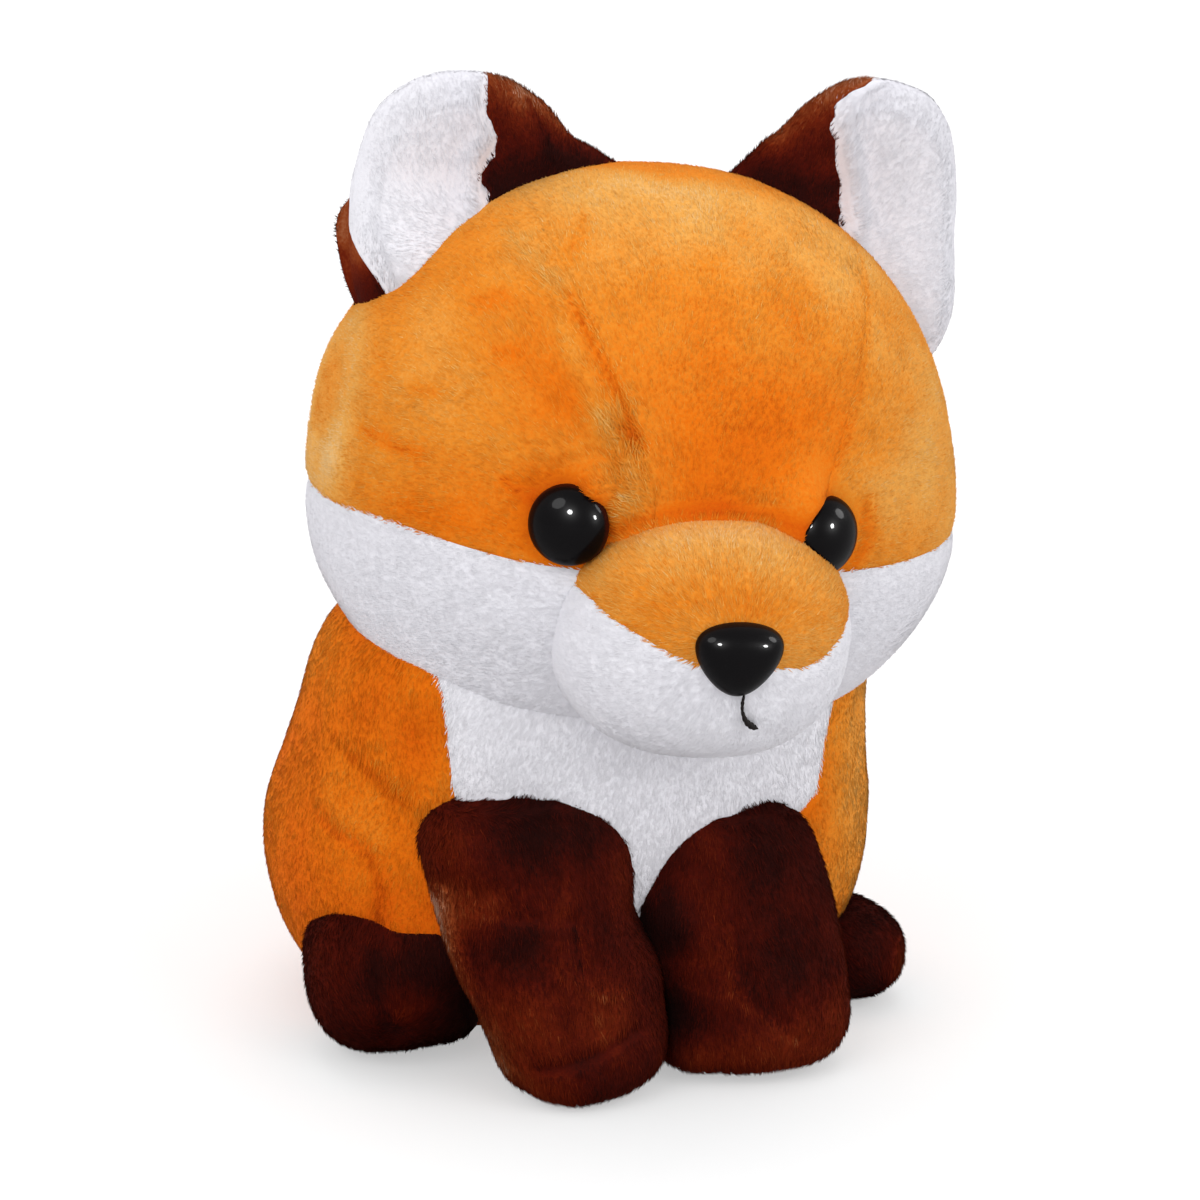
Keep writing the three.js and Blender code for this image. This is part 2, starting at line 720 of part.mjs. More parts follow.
function buildHead() {
  const skin = cutBy(toSolid(headForm(0)), toSolid(headForm(plushThickness)), ...eyeRooms);
  const crown = skin.subtract(underCheekSeam(seamGap / 2));
  addPiece(head, 'head_gusset', plushOrange, crown.intersect(gussetStrip(-seamGap / 2)));
  const sides = crown.subtract(gussetStrip(seamGap / 2));
  const cheeks = skin.intersect(underCheekSeam(-seamGap / 2));
  for (const side of [-1, 1]) {
    addPiece(head, `head_side_${sideName(side)}`, plushOrange, sides.subtract(otherSide(side)));
    addPiece(head, `cheek_${sideName(side)}`, plushWhite, cheeks.subtract(otherSide(side)));
  }
  const filling = toSolid(headForm(plushThickness + fillingGap, halfRound(headFacets)));
  addPiece(head, 'head_filling', fibre, cutBy(filling, ...eyeRooms, ...eyeWasherRooms));
}

function buildMuzzle() {
  const { skinHole, washerRoom } = buildNose();
  const around = [headSolidOut, skinHole, ...eyeRooms];
  const skin = cutBy(toSolid(muzzleForm(0)), toSolid(muzzleForm(plushThickness)), ...around);
  const seam = (shift) => {
    const shape = [
      [-farReach, -muzzleSeamSideDrop + shift],
      [-muzzleHalfWidth, -muzzleSeamSideDrop + shift],
      [-muzzleHalfWidth / 2, -muzzleSeamDrop + muzzleSeamArch + shift],
      [0, -muzzleSeamDrop + shift],
      [muzzleHalfWidth / 2, -muzzleSeamDrop + shift],
      [muzzleHalfWidth, -muzzleSeamLeftDrop + shift],
      [farReach, -muzzleSeamLeftDrop + shift],
      [farReach, farReach],
      [-farReach, farReach],
    ];
    return throughDepth(shape, -farReach, farReach);
  };
  addPiece(head, 'muzzle_top', plushOrange, skin.intersect(seam(seamGap / 2)));
  addPiece(head, 'muzzle_lower', plushWhite, skin.subtract(seam(-seamGap / 2)));
  const filling = toSolid(muzzleForm(plushThickness + fillingGap, halfRound(muzzleFacets)));
  addPiece(head, 'muzzle_filling', fibre, cutBy(filling, ...around, washerRoom));
}

function buildEar(side) {
  const name = sideName(side);
  const { inner, axis } = earRoot(side);
  const room = sweptRoom(headForm(-seamGap), inner, axis, earSwingDegrees);
  const whole = cutBy(toSolid(earForm(side, 0)), toSolid(earForm(side, earPlushThickness)), room);
  const seamOut = side * earSeamOut + earAside;
  const rimBack = earSetBack + earCurl;
  const frontRegion = (grow) => {
    const inward = seamOut - side * grow;
    const low = new THREE.Vector3(Math.min(inward, side * farReach), -farReach, -farReach);
    const high = new THREE.Vector3(Math.max(inward, side * farReach), rimBack + grow, farReach);
    return block(low, high);
  };
  addPiece(head, `ear_front_${name}`, plushWhite, whole.intersect(frontRegion(-seamGap / 2)));
  addPiece(head, `ear_back_${name}`, plushBrown, whole.subtract(frontRegion(seamGap / 2)));
  const filling = toSolid(earForm(side, earPlushThickness + fillingGap, halfRound(earFacets)));
  addPiece(head, `ear_filling_${name}`, fibre, filling.subtract(room));
}

function buildBody() {
  const whole = cutBy(toSolid(bodyForm(0)), headInFox, muzzleInFox);
  const overBase = block(
    new THREE.Vector3(-farReach, -farReach, plushThickness),
    new THREE.Vector3(farReach, farReach, farReach),
  );
  const underWalls = block(
    new THREE.Vector3(-farReach, -farReach, -farReach),
    new THREE.Vector3(farReach, farReach, plushThickness + seamGap),
  );
  addPiece(fox, 'body_base', plushOrange, whole.subtract(overBase));
  const walls = cutBy(whole, toSolid(bodyForm(plushThickness)), underWalls);
  addPiece(fox, 'chest_bib', plushWhite, walls.intersect(bibRegion(-seamGap / 2)));
  const sides = walls.subtract(bibRegion(seamGap / 2));
  for (const side of [-1, 1]) {
    addPiece(fox, `body_side_${sideName(side)}`, plushOrange, sides.subtract(otherSide(side)));
  }
  const filling = toSolid(bodyForm(plushThickness + fillingGap, halfFlatEnded(bodyFacets)));
  addPiece(fox, 'body_filling', fibre, cutBy(filling, headInFox, muzzleInFox));
}

function buildFrontLeg(side) {
  const name = sideName(side);
  const around = [bodyOut, headInFox, muzzleInFox, otherSide(side)];
  const skin = cutBy(toSolid(legForm(side, 0)), toSolid(legForm(side, plushThickness)), ...around);
  addPiece(fox, `front_leg_${name}`, plushBrown, skin);
  const filling = toSolid(legForm(side, plushThickness + fillingGap, halfFlatEnded(legFacets)));
  addPiece(fox, `front_leg_filling_${name}`, fibre, cutBy(filling, ...around));
}

function buildHindFoot(side) {
  const name = sideName(side);
  const around = [bodyOut, toSolid(legForm(side, -seamGap)), floorBlock];
  const skin = cutBy(toSolid(footForm(side, 0)), toSolid(footForm(side, plushThickness)), ...around);
  addPiece(fox, `hind_foot_${name}`, plushBrown, skin);
  const filling = toSolid(footForm(side, plushThickness + fillingGap, halfRound(footFacets)));
  addPiece(fox, `hind_foot_filling_${name}`, fibre, cutBy(filling, ...around));
}

function buildTail() {
  const pivot = tailRoot.clone().add(new THREE.Vector3(0, tailRadius / 2, 0));
  const room = sweptRoom(bodyForm(-seamGap), pivot, new THREE.Vector3(0, 0, 1), tailSwingDegrees);
  const skin = cutBy(toSolid(tailForm(0)), toSolid(tailForm(plushThickness)), room);
  addPiece(fox, 'tail_skin', plushOrange, skin.subtract(tailTipRegion(-seamGap / 2)));
  addPiece(fox, 'tail_tip', plushWhite, skin.intersect(tailTipRegion(seamGap / 2)));
  const filling = toSolid(tailForm(plushThickness + fillingGap, halfFlatEnded(tailFacets)));
  addPiece(fox, 'tail_filling', fibre, filling.subtract(room));
}

buildEyes();
buildHead();
buildMuzzle();
buildBody();
for (const side of [-1, 1]) {
  buildEar(side);
  buildFrontLeg(side);
  buildHindFoot(side);
}
buildTail();

export default fox;
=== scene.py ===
import math

import bpy
import numpy as np
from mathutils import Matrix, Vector


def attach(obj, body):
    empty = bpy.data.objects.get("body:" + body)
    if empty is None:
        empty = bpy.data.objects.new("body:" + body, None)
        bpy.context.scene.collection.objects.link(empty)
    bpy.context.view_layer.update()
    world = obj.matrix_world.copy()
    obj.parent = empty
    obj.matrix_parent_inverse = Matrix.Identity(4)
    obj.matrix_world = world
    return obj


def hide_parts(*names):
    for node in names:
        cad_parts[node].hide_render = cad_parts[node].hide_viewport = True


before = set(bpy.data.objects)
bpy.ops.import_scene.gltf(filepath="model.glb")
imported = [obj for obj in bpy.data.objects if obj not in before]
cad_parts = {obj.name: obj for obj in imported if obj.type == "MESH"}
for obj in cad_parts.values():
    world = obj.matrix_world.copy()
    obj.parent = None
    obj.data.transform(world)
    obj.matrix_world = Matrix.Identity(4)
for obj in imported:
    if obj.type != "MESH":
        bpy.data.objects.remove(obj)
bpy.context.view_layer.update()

# A seated plush fox. All forms are worked out in millimetres and put into the meshes in metres.
# +Z is up, the fox looks along -Y, and its right side is -X.
mm = 0.001
bothSides = (-1, "right"), (1, "left")


# Smooth curve through a table of values, level past its ends: cubic steps with slopes from the neighbours
def smoothAt(places, values, at):
    places, values = np.asarray(places, float), np.asarray(values, float)
    at = np.clip(at, places[0], places[-1])
    index = np.arange(len(places))
    low, high = np.maximum(index - 1, 0), np.minimum(index + 1, len(places) - 1)
    slope = (values[high] - values[low]) / (places[high] - places[low])
    i = np.clip(np.searchsorted(places, at, side="right") - 1, 0, len(places) - 2)
    span = places[i + 1] - places[i]
    t = (at - places[i]) / span
    rise = values[i + 1] - values[i]
    start, end = slope[i] * span, slope[i + 1] * span
    return values[i] + start * t + (3 * rise - 2 * start - end) * t**2 + (start + end - 2 * rise) * t**3


# Smooth step from 0 at low to 1 at high: three squares less two cubes of the share of the way
def ease(value, low, high):
    t = np.clip((value - low) / (high - low), 0, 1)
    return t * t * (3 - 2 * t)


# 1 in the middle, and falling with the square of the distance in an exponent
def bell(away, reach):
    return np.exp(-((away / reach) ** 2))


def unit(vectors):
    return vectors / np.maximum(np.linalg.norm(vectors, axis=-1, keepdims=True), 1e-9)


# Smooth random field from -1 to 1: a lattice of random values, blended between its corners
noiseTable = np.random.default_rng(11).uniform(-1, 1, 4096)


def noise(points, reach, seed):
    place = points / reach + 500
    cell = np.floor(place).astype(np.int64)
    share = place - cell
    share = share * share * (3 - 2 * share)
    total = np.zeros(len(points))
    for corner in np.ndindex(2, 2, 2):
        mixed = (cell + corner) @ np.array([73856093, 19349663, 83492791]) + seed * 7919
        mixed = (mixed ^ (mixed >> 11)) * 40503
        weight = np.prod(np.where(corner, share, 1 - share), axis=1)
        total += weight * noiseTable[(mixed ^ (mixed >> 7)) & 4095]
    return total


# Shares round and up a closed form, rings with a point at each pole, and its faces
def closedGrid(around, rows):
    turn = np.concatenate([[0], np.tile(np.arange(around) / around, rows - 1), [0]])
    rise = np.concatenate([[0], np.repeat(np.arange(1, rows) / rows, around), [1]])
    step = np.arange(around)
    after = (step + 1) % around
    low = 1 + around * np.arange(rows - 2)[:, None]
    last = len(turn) - 1
    high, end = low + around, last - around
    corners = [(0 * step, 1 + after, 1 + step), (low + step, low + after, high + after),
               (low + step, high + after, high + step), (last + 0 * step, end + step, end + after)]
    return turn, rise, np.concatenate([np.stack(three, -1).reshape(-1, 3) for three in corners])


# Normals at the points: each face's normal, weighted by its area, summed at its corners
def normalsOf(points, faces):
    a, b, c = (points[faces[:, i]] for i in range(3))
    across = np.cross(b - a, c - a)
    total = np.zeros_like(points)
    for i in range(3):
        for axis in range(3):
            total[:, axis] += np.bincount(faces[:, i], across[:, axis], len(points))
    return unit(total)


# Keeps the side where field is positive; a face that crosses is cut where it is zero
def cutAlong(values, faces, field):
    field = np.where(np.abs(field) < 1e-6, 1e-6, field)
    inside = field[faces] > 0
    count = inside.sum(1)
    crossing = (count == 1) | (count == 2)
    odd = np.where(count == 1, np.argmax(inside, 1), np.argmin(inside, 1))[crossing]
    turned = faces[crossing][np.arange(len(odd))[:, None], (odd[:, None] + np.arange(3)) % 3]
    a, b, c = turned.T
    ends = np.sort(np.concatenate([np.stack([a, b], 1), np.stack([a, c], 1)]), axis=1)
    pairs, which = np.unique(ends, axis=0, return_inverse=True)
    which = which.ravel()
    share = (field[pairs[:, 0]] / (field[pairs[:, 0]] - field[pairs[:, 1]]))[:, None]
    values = np.concatenate([values, values[pairs[:, 0]] * (1 - share) + values[pairs[:, 1]] * share])
    onB = len(field) + which[: len(a)]
    onC = len(field) + which[len(a):]
    one = count[crossing] == 1
    pieces = ((a, onB, onC), one), ((onB, b, c), ~one), ((onB, c, onC), ~one)
    faces = np.concatenate([faces[count == 3]] + [np.stack(three, 1)[some] for three, some in pieces])
    used, where = np.unique(faces, return_inverse=True)
    return values[used], where.reshape(-1, 3)


# Side of a surface where one of its cutting fields is positive, or negative with side -1
firstField = 13


def partOf(surface, field, side=1):
    values, faces, look = surface
    return (*cutAlong(values, faces, side * values[:, firstField + field]), look)


# Mesh object from points in millimetres and triangles, with named values at its points
def putMesh(name, points, faces, material, **values):
    mesh = bpy.data.meshes.new(name)
    mesh.vertices.add(len(points))
    mesh.vertices.foreach_set("co", (points * mm).astype(np.float32).ravel())
    mesh.loops.add(3 * len(faces))
    mesh.loops.foreach_set("vertex_index", faces.astype(np.int32).ravel())
    mesh.polygons.add(len(faces))
    mesh.polygons.foreach_set("loop_start", np.arange(0, 3 * len(faces), 3, dtype=np.int32))
    mesh.polygons.foreach_set("use_smooth", np.full(len(faces), True))
    mesh.update(calc_edges=True)
    mesh.materials.append(material)
    piece = bpy.data.objects.new(name, mesh)
    bpy.context.scene.collection.objects.link(piece)
    for key, value in values.items():
        mesh.attributes.new(key, "FLOAT", "POINT").data.foreach_set("value", value.astype(np.float32))
    return piece


def setInputs(node, inputs):
    for name, value in inputs.items():
        node.inputs[name].default_value = value
    return node


def addNode(tree, kind, inputs={}, **settings):
    node = tree.nodes.new("ShaderNode" + kind)
    for name, value in settings.items():
        setattr(node, name, value)
    return setInputs(node, inputs)


def join(source, output, target, name):
    source.id_data.links.new(source.outputs[output], target.inputs[name])


def newMaterial(name, roughness, specular, sheen=(0, (1, 1, 1))):
    material = bpy.data.materials.new(name)
    material.use_nodes = True
    shader = setInputs(material.node_tree.nodes["Principled BSDF"], {
        "Roughness": roughness, "Specular IOR Level": specular,
        "Sheen Weight": sheen[0], "Sheen Roughness": 0.5, "Sheen Tint": (*sheen[1], 1)})
    return material, material.node_tree, shader


def addRamp(source, output, stops):
    ramp = addNode(source.id_data, "ValToRGB")
    while len(ramp.color_ramp.elements) < len(stops):
        ramp.color_ramp.elements.new(0.5)
    for element, (place, colour) in zip(ramp.color_ramp.elements, stops):
        element.position = place
        element.color = (*colour, 1)
    join(source, output, ramp, "Fac")
    return ramp


# Noise on the piece's own coordinates
def addGrain(tree, scale, detail=2):
    grain = addNode(tree, "TexNoise", {"Scale": scale, "Detail": detail})
    join(addNode(tree, "TexCoord"), "Object", grain, "Vector")
    return grain


def addBump(grain, shader, strength, distance):
    bump = addNode(shader.id_data, "Bump", {"Strength": strength, "Distance": distance})
    join(grain, "Fac", bump, "Height")
    join(bump, "Normal", shader, "Normal")


# Colours of each pile fabric from its deep folds to its lit tips, linear
fabrics = dict(
    orange_plush=dict(
        ramp=[(0, (0.45, 0.05, 0.001)), (0.3, (0.71, 0.108, 0.0015)), (0.5, (0.79, 0.168, 0.004)),
            (0.65, (0.79, 0.25, 0.02)), (0.82, (0.82, 0.385, 0.08)), (1, (0.86, 0.56, 0.25))],
        rootShadeShare=0.8, sheen=(0.05, (1, 0.6, 0.2)), pile=dict(),
    ),
    white_plush=dict(
        ramp=[(0, (0.55, 0.54, 0.6)), (0.5, (0.76, 0.75, 0.81)), (1, (0.9, 0.89, 0.94))], rootShadeShare=0.97,
        sheen=(0.03, (1, 1, 1)),
        pile=dict(density=2.8, width=0.42, length=2.9, lift=8, liftSpread=0.12, swirl=24, ruffle=5, spread=6,
            bend=0.03, round=0.12, shadeSpread=0.02, streak=0.02, mottle=0.05, rootDepth=0.15),
    ),
    brown_plush=dict(
        ramp=[(0, (0.008, 0.001, 0.0008)), (0.3, (0.022, 0.0018, 0.0008)), (0.5, (0.066, 0.0038, 0.0008)),
            (0.7, (0.14, 0.013, 0.0018)), (0.84, (0.24, 0.045, 0.01)), (0.93, (0.32, 0.1, 0.04)),
            (1, (0.56, 0.3, 0.2))],
        rootShadeShare=0.6, sheen=(0.01, (1, 0.35, 0.15)), pile=dict(length=3.2, lift=15),
    ),
)


# Skin under the pile: the shade comes from the mesh, with a fine grain in it
def skinMaterial(slot):
    look = fabrics[slot]
    material, tree, shader = newMaterial(slot + "_skin", 0.95, 0.02, look["sheen"])
    grain = addGrain(tree, 1100, 3)
    spread = addNode(tree, "Math", {1: 0.25}, operation="MULTIPLY_ADD")
    join(grain, "Fac", spread, 0)
    join(addNode(tree, "Attribute", attribute_name="shade"), "Fac", spread, 2)
    less = addNode(tree, "Math", {1: 0.15}, operation="SUBTRACT", use_clamp=True)
    join(spread, 0, less, 0)
    join(addRamp(less, 0, look["ramp"]), "Color", shader, "Base Color")
    addBump(grain, shader, 0.3, 0.0005)
    return material


# Pile: the map holds the shade of a lock across, and the way from its root to its tip up
def pileMaterial(slot):
    look = fabrics[slot]
    material, tree, shader = newMaterial(slot + "_pile", 0.9, 0.02, look["sheen"])
    parts = addNode(tree, "SeparateXYZ")
    join(addNode(tree, "UVMap", uv_map="OFBake"), "UV", parts, "Vector")
    mix = addNode(tree, "Mix", {"Factor": 1}, data_type="RGBA", blend_type="MULTIPLY")
    # The roots are darkened: painted shade deep in the pile between the locks
    paintedRootShade = [(0, (look["rootShadeShare"],) * 3), (0.6, (1, 1, 1))]
    join(addRamp(parts, "X", look["ramp"]), "Color", mix, "A")
    join(addRamp(parts, "Y", paintedRootShade), "Color", mix, "B")
    join(mix, "Result", shader, "Base Color")
    return material


skinLooks = {slot: skinMaterial(slot) for slot in fabrics}
pileLooks = {slot: pileMaterial(slot) for slot in fabrics}

# Pile: lengths in mm, angles in degrees, density in locks per square mm
pile = dict(
    density=2.3, backShare=0.5, length=2.9, width=0.46, lift=11, swirl=18, ruffle=12, liftSpread=0.2, spread=9,
    bend=0.09, round=0.25, shadeSpread=0.05, streak=0.07, mottle=0.2, rootDepth=0.3, floorGap=0.15,
)
pileFaces = []


# How much a face is turned to the front, or with wide also to the right side
def facingOf(normal, wide):
    return ease(wide * 0.85 * (-normal[:, 0]).clip(0) - normal[:, 1], 0.0, 0.35)


# A crease has its line in the front view, as x and z in turn, its width, and the height, shade and fluff
# that it adds. The last value is how far the right side shows it too.
# Their shade is painted: darker as painted shade in a crease, lighter as a painted highlight on a ridge or lit edge,
# and some lighter streaks are the pile's own brushed tone.
creaseParts = {"height": 2, "shade": 3, "fluff": 4}


# Sum of one part of the creases. Each fades over its own width, or the least one that the mesh can show.
def creased(flat, normal, look, part, least=0.0):
    total = np.zeros(len(flat))
    for crease in look.get("creases", []):
        line, own, *_, wide = crease = (*crease, 0, 0)[:6]
        line = np.reshape(line, (-1, 2))
        amount = crease[creaseParts[part]]
        if amount == 0:
            continue
        away = np.full(len(flat), np.inf)
        for start, end in zip(line, line[1:]):
            run = np.subtract(end, start)
            share = ((flat - start) @ run / (run @ run)).clip(0, 1)
            away = np.minimum(away, np.linalg.norm(flat - start - share[:, None] * run, axis=1))
        width = max(own, least)
        total += amount * (own / width) ** 0.5 * bell(away, width) * facingOf(normal, wide)
    return total


# Closed three-sided locks, each with its root under the skin. A lock's way is the comb's way in the
# surface, turned by noise and lifted. None grows deep in one of the buried forms or in the bare field.
def growPile(name, surface, slot, settings, buried, seed):
    values, faces, marks = surface
    look = pile | fabrics[slot]["pile"] | settings
    random, corners = np.random.default_rng(seed), values[faces]
    across = np.cross(corners[:, 1, :3] - corners[:, 0, :3], corners[:, 2, :3] - corners[:, 0, :3])
    area = np.linalg.norm(across, axis=1) / 2
    back = look["backShare"]
    weight = area * (back + (1 - back) * ease(-corners[:, :, 4].mean(1), -0.6, 0.1))
    if "bare" in look:
        weight[corners[:, :, firstField + look["bare"]].mean(1) > 0] = 0
    total = np.cumsum(weight)
    count = int(look["density"] * total[-1])
    chosen = np.searchsorted(total, random.random(count) * total[-1]).clip(0, len(area) - 1)
    first, second = random.random((2, count))
    first, second = np.where(first + second > 1, (1 - first, 1 - second), (first, second))
    found = (corners[chosen] * np.stack([1 - first - second, first, second], 1)[:, :, None]).sum(1)
    free = found[:, 2] > 1.2
    for distance in buried:
        free &= distance(found[:, :3]) > -1.5
    found = found[free]
    count = len(found)
    place, normal, comb, view = found[:, :3], unit(found[:, 3:6]), found[:, 6:9], found[:, 11:13]
    shade = found[:, 9] + creased(view, normal, marks, "shade")
    fluff = (found[:, 10] + creased(view, normal, marks, "fluff")).clip(-1.5, 1.5)
    loose = fluff.clip(0)
    flat = unit(comb - (comb * normal).sum(1, keepdims=True) * normal)
    angle = look["swirl"] * noise(place, 24, seed + 1)
    angle += (look["ruffle"] + 35 * loose) * noise(place, 5, seed + 2)
    angle = np.radians(angle + (look["spread"] + 12 * loose) * random.standard_normal(count))[:, None]
    way = flat * np.cos(angle) + np.cross(normal, flat) * np.sin(angle)
    side = np.cross(normal, way)
    vary = 1.6 * noise(place, 8, seed + 3) + random.standard_normal(count)
    lift = look["lift"] * (1 + look["liftSpread"] * vary)
    lift = np.radians((lift + 22 * fluff).clip(5, 75))[:, None]
    length = (look["length"] * random.uniform(0.7, 1.2, count) * (1 + 0.35 * fluff))[:, None]
    width = look["width"] * random.uniform(0.8, 1.25, count)[:, None]
    run = way * np.cos(lift) + normal * np.sin(lift)
    root, half = place - look["rootDepth"] * normal, side * width / 2
    ends = root + half, root - half, root - np.cross(run, side) * width * 0.6, root + run * length
    points = np.stack(ends, 1)
    points[:, :, 2] = points[:, :, 2].clip(look["floorGap"])
    bent = random.normal(0, look["bend"], (count, 3))
    tilts = side, -side, 0 * side, way
    facing = np.stack([unit(normal + look["round"] * tilt + bent) for tilt in tilts], 1)
    corners = [[0, 3, 2], [2, 3, 1], [1, 3, 0], [0, 2, 1]]
    locks = (4 * np.arange(count)[:, None, None] + corners).reshape(-1, 3)
    piece = putMesh(name, points.reshape(-1, 3), locks, pileLooks[slot])
    shade = shade + look["shadeSpread"] * random.standard_normal(count)
    shade += look["mottle"] * loose * noise(place, 3.2, seed + 4)
    across = place - 0.85 * (place * flat).sum(1, keepdims=True) * flat
    shade = (shade + look["streak"] * noise(across, 1.4, seed + 5)).clip(0.01, 0.99)
    mapped = [shade[:, None] + [0.006, -0.006, 0, 0], np.broadcast_to([0, 0.04, 0.12, 1], (count, 4))]
    mapped = np.stack(mapped, -1).reshape(-1, 2)
    layer = piece.data.uv_layers.new(name="OFBake")
    layer.uv.foreach_set("vector", mapped[locks.ravel()].astype(np.float32).ravel())
    piece.data.normals_split_custom_set_from_vertices(facing.reshape(-1, 3))
    pileFaces.append(len(locks))
    return piece


# Fabric panel: a shell with its pile
cloth = dict(thickness=1.2, fill=0.9, floorGap=1.2, leastCrease=2.2)


def makePanel(name, surface, slot, seed, buried, others=(), settings={}, body="root"):
    values, faces, marks = surface
    shade = values[:, 9] + creased(values[:, 11:13], values[:, 3:6], marks, "shade", cloth["leastCrease"])
    skin = putMesh(name, values[:, :3], faces, skinLooks[slot], shade=shade)
    wall = skin.modifiers.new("cloth", "SOLIDIFY")
    wall.thickness = cloth["thickness"] * mm
    wall.offset = -1
    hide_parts(name, *others)
    hair = growPile(name + "_pile", surface, slot, settings, buried, seed)
    for piece in (skin, hair):
        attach(piece, body)


# Sum of the powers of the shares of a section's reach: 1 on its outline
def sectionSum(across, along, side, front, back, fullness):
    return np.abs(across / side) ** fullness + np.abs(along / np.where(along > 0, back, front)) ** fullness


def roundedSum(points, side, front, back, up, down, fullness):
    x, y, z = points.T
    return sectionSum(x, y, side, front, back, fullness) + np.abs(z / np.where(z > 0, up, down)) ** fullness


# Distance out of a rounded form, along the ray from its middle: the ray less its part up to the outline
def roundedDistance(points, *size):
    total = np.maximum(roundedSum(points, *size), 1e-9)
    return np.linalg.norm(points, axis=1) * (1 - total ** (-1 / size[-1]))


# Rounded form with its own reach to each side: the sum of the powers of its shares is 1
def roundedPoints(turn, rise, *size):
    around, tilt = 2 * np.pi * turn, np.pi * (rise - 0.5)
    ways = np.stack([np.sin(around) * np.cos(tilt), -np.cos(around) * np.cos(tilt), np.sin(tilt)], 1)
    return ways * (roundedSum(ways, *size) ** (-1 / size[-1]))[:, None]


# Section at a share of the height: its middle, and its reach to the sides, front and back, from tables
# of each reach and of the middle's way from its low place to its high one
def sectionOf(look, share):
    inset = look["pileDepth"]
    tables = (look[name] for name in ("widths", "fronts", "backs", "asides", "aheads"))
    wide, front, back, aside, ahead = (smoothAt(look["heights"], table, share) for table in tables)
    shrink = 1 - inset / look["halfWidth"]
    (low, high), (near, far) = look["aside"], look["ahead"]
    return (look["side"] * (low + (high - low) * aside), -(near + (far - near) * ahead),
            inset + share * (look["height"] - 2 * inset), shrink * look["halfWidth"] * wide,
            shrink * look["front"] * front, shrink * look["back"] * back)


# Form carried up through its sections, flat at both ends: on each the sum of the powers is 1
def stationPoints(turn, rise, look, flat=0.05):
    x, y, z, side, front, back = sectionOf(look, ((rise - flat) / (1 - 2 * flat)).clip(0, 1))
    fullness, around = look["fullness"], 2 * np.pi * turn
    across, along = np.sin(around), -np.cos(around)
    reach = sectionSum(across, along, side, front, back, fullness) ** (-1 / fullness)
    reach = reach * np.minimum(np.minimum(rise, 1 - rise) / flat, 1)
    return np.stack([x + across * reach, y + along * reach, z], 1)


# Distance out of that form, along the ray from its section's middle, or past its ends
def stationDistance(points, look):
    z, fullness = points[:, 2], look["fullness"]
    x, y, _, *reaches = sectionOf(look, (z / look["height"]).clip(0, 1))
    across, along = points[:, 0] - x, points[:, 1] - y
    total = np.maximum(sectionSum(across, along, *reaches, fullness), 1e-9)
    distance = np.hypot(across, along) * (1 - total ** (-1 / fullness))
    return np.maximum(distance, np.maximum(z - look["height"], -z))


def spot(flat, x, z, reachX, reachZ):
    return np.exp(-(((flat[:, 0] - x) / reachX) ** 2) - ((flat[:, 1] - z) / reachZ) ** 2)


# Surface as one table: place, normal, comb's way, shade, fluff, place in the front view, cutting fields.
# Bumps swell and patches shade round a place of that view. Each has its place, reach and amount.
def surfaceOf(points, faces, comb, look, *fields, turn=None):
    normal = normalsOf(points, faces)
    ahead = ease(-normal[:, 1], -0.5, 0.1)
    flat = points[:, [0, 2]]
    relief = creased(flat, normal, look, "height", cloth["leastCrease"])
    shade = np.full(len(points), look["shade"])
    for reach, height, tone in look["lumps"]:
        lump = noise(points, reach, int(reach) + look["seed"])
        relief += height * lump
        shade += tone * lump
    facing = facingOf(normal, 1)
    # Patches: painted light and shade, lighter where light falls and darker where shade falls, mixed with the
    # fabric's own paler and darker tone
    for *place, tone in look.get("patches", []):
        shade += tone * facing * spot(flat, *place)
    for *place, height in look.get("bumps", []):
        relief += height * ahead * spot(flat, *place)
    points = points + normal * relief[:, None]
    if turn is not None:
        points, comb = headToFox(points), comb @ turn.T
    points[:, 2] = points[:, 2].clip(cloth["floorGap"])
    columns = [points, normalsOf(points, faces), comb, shade[:, None], 0 * shade[:, None], flat]
    fields = [field(points) if callable(field) else field for field in fields]
    return np.concatenate(columns + [field[:, None] for field in fields], 1), faces, look


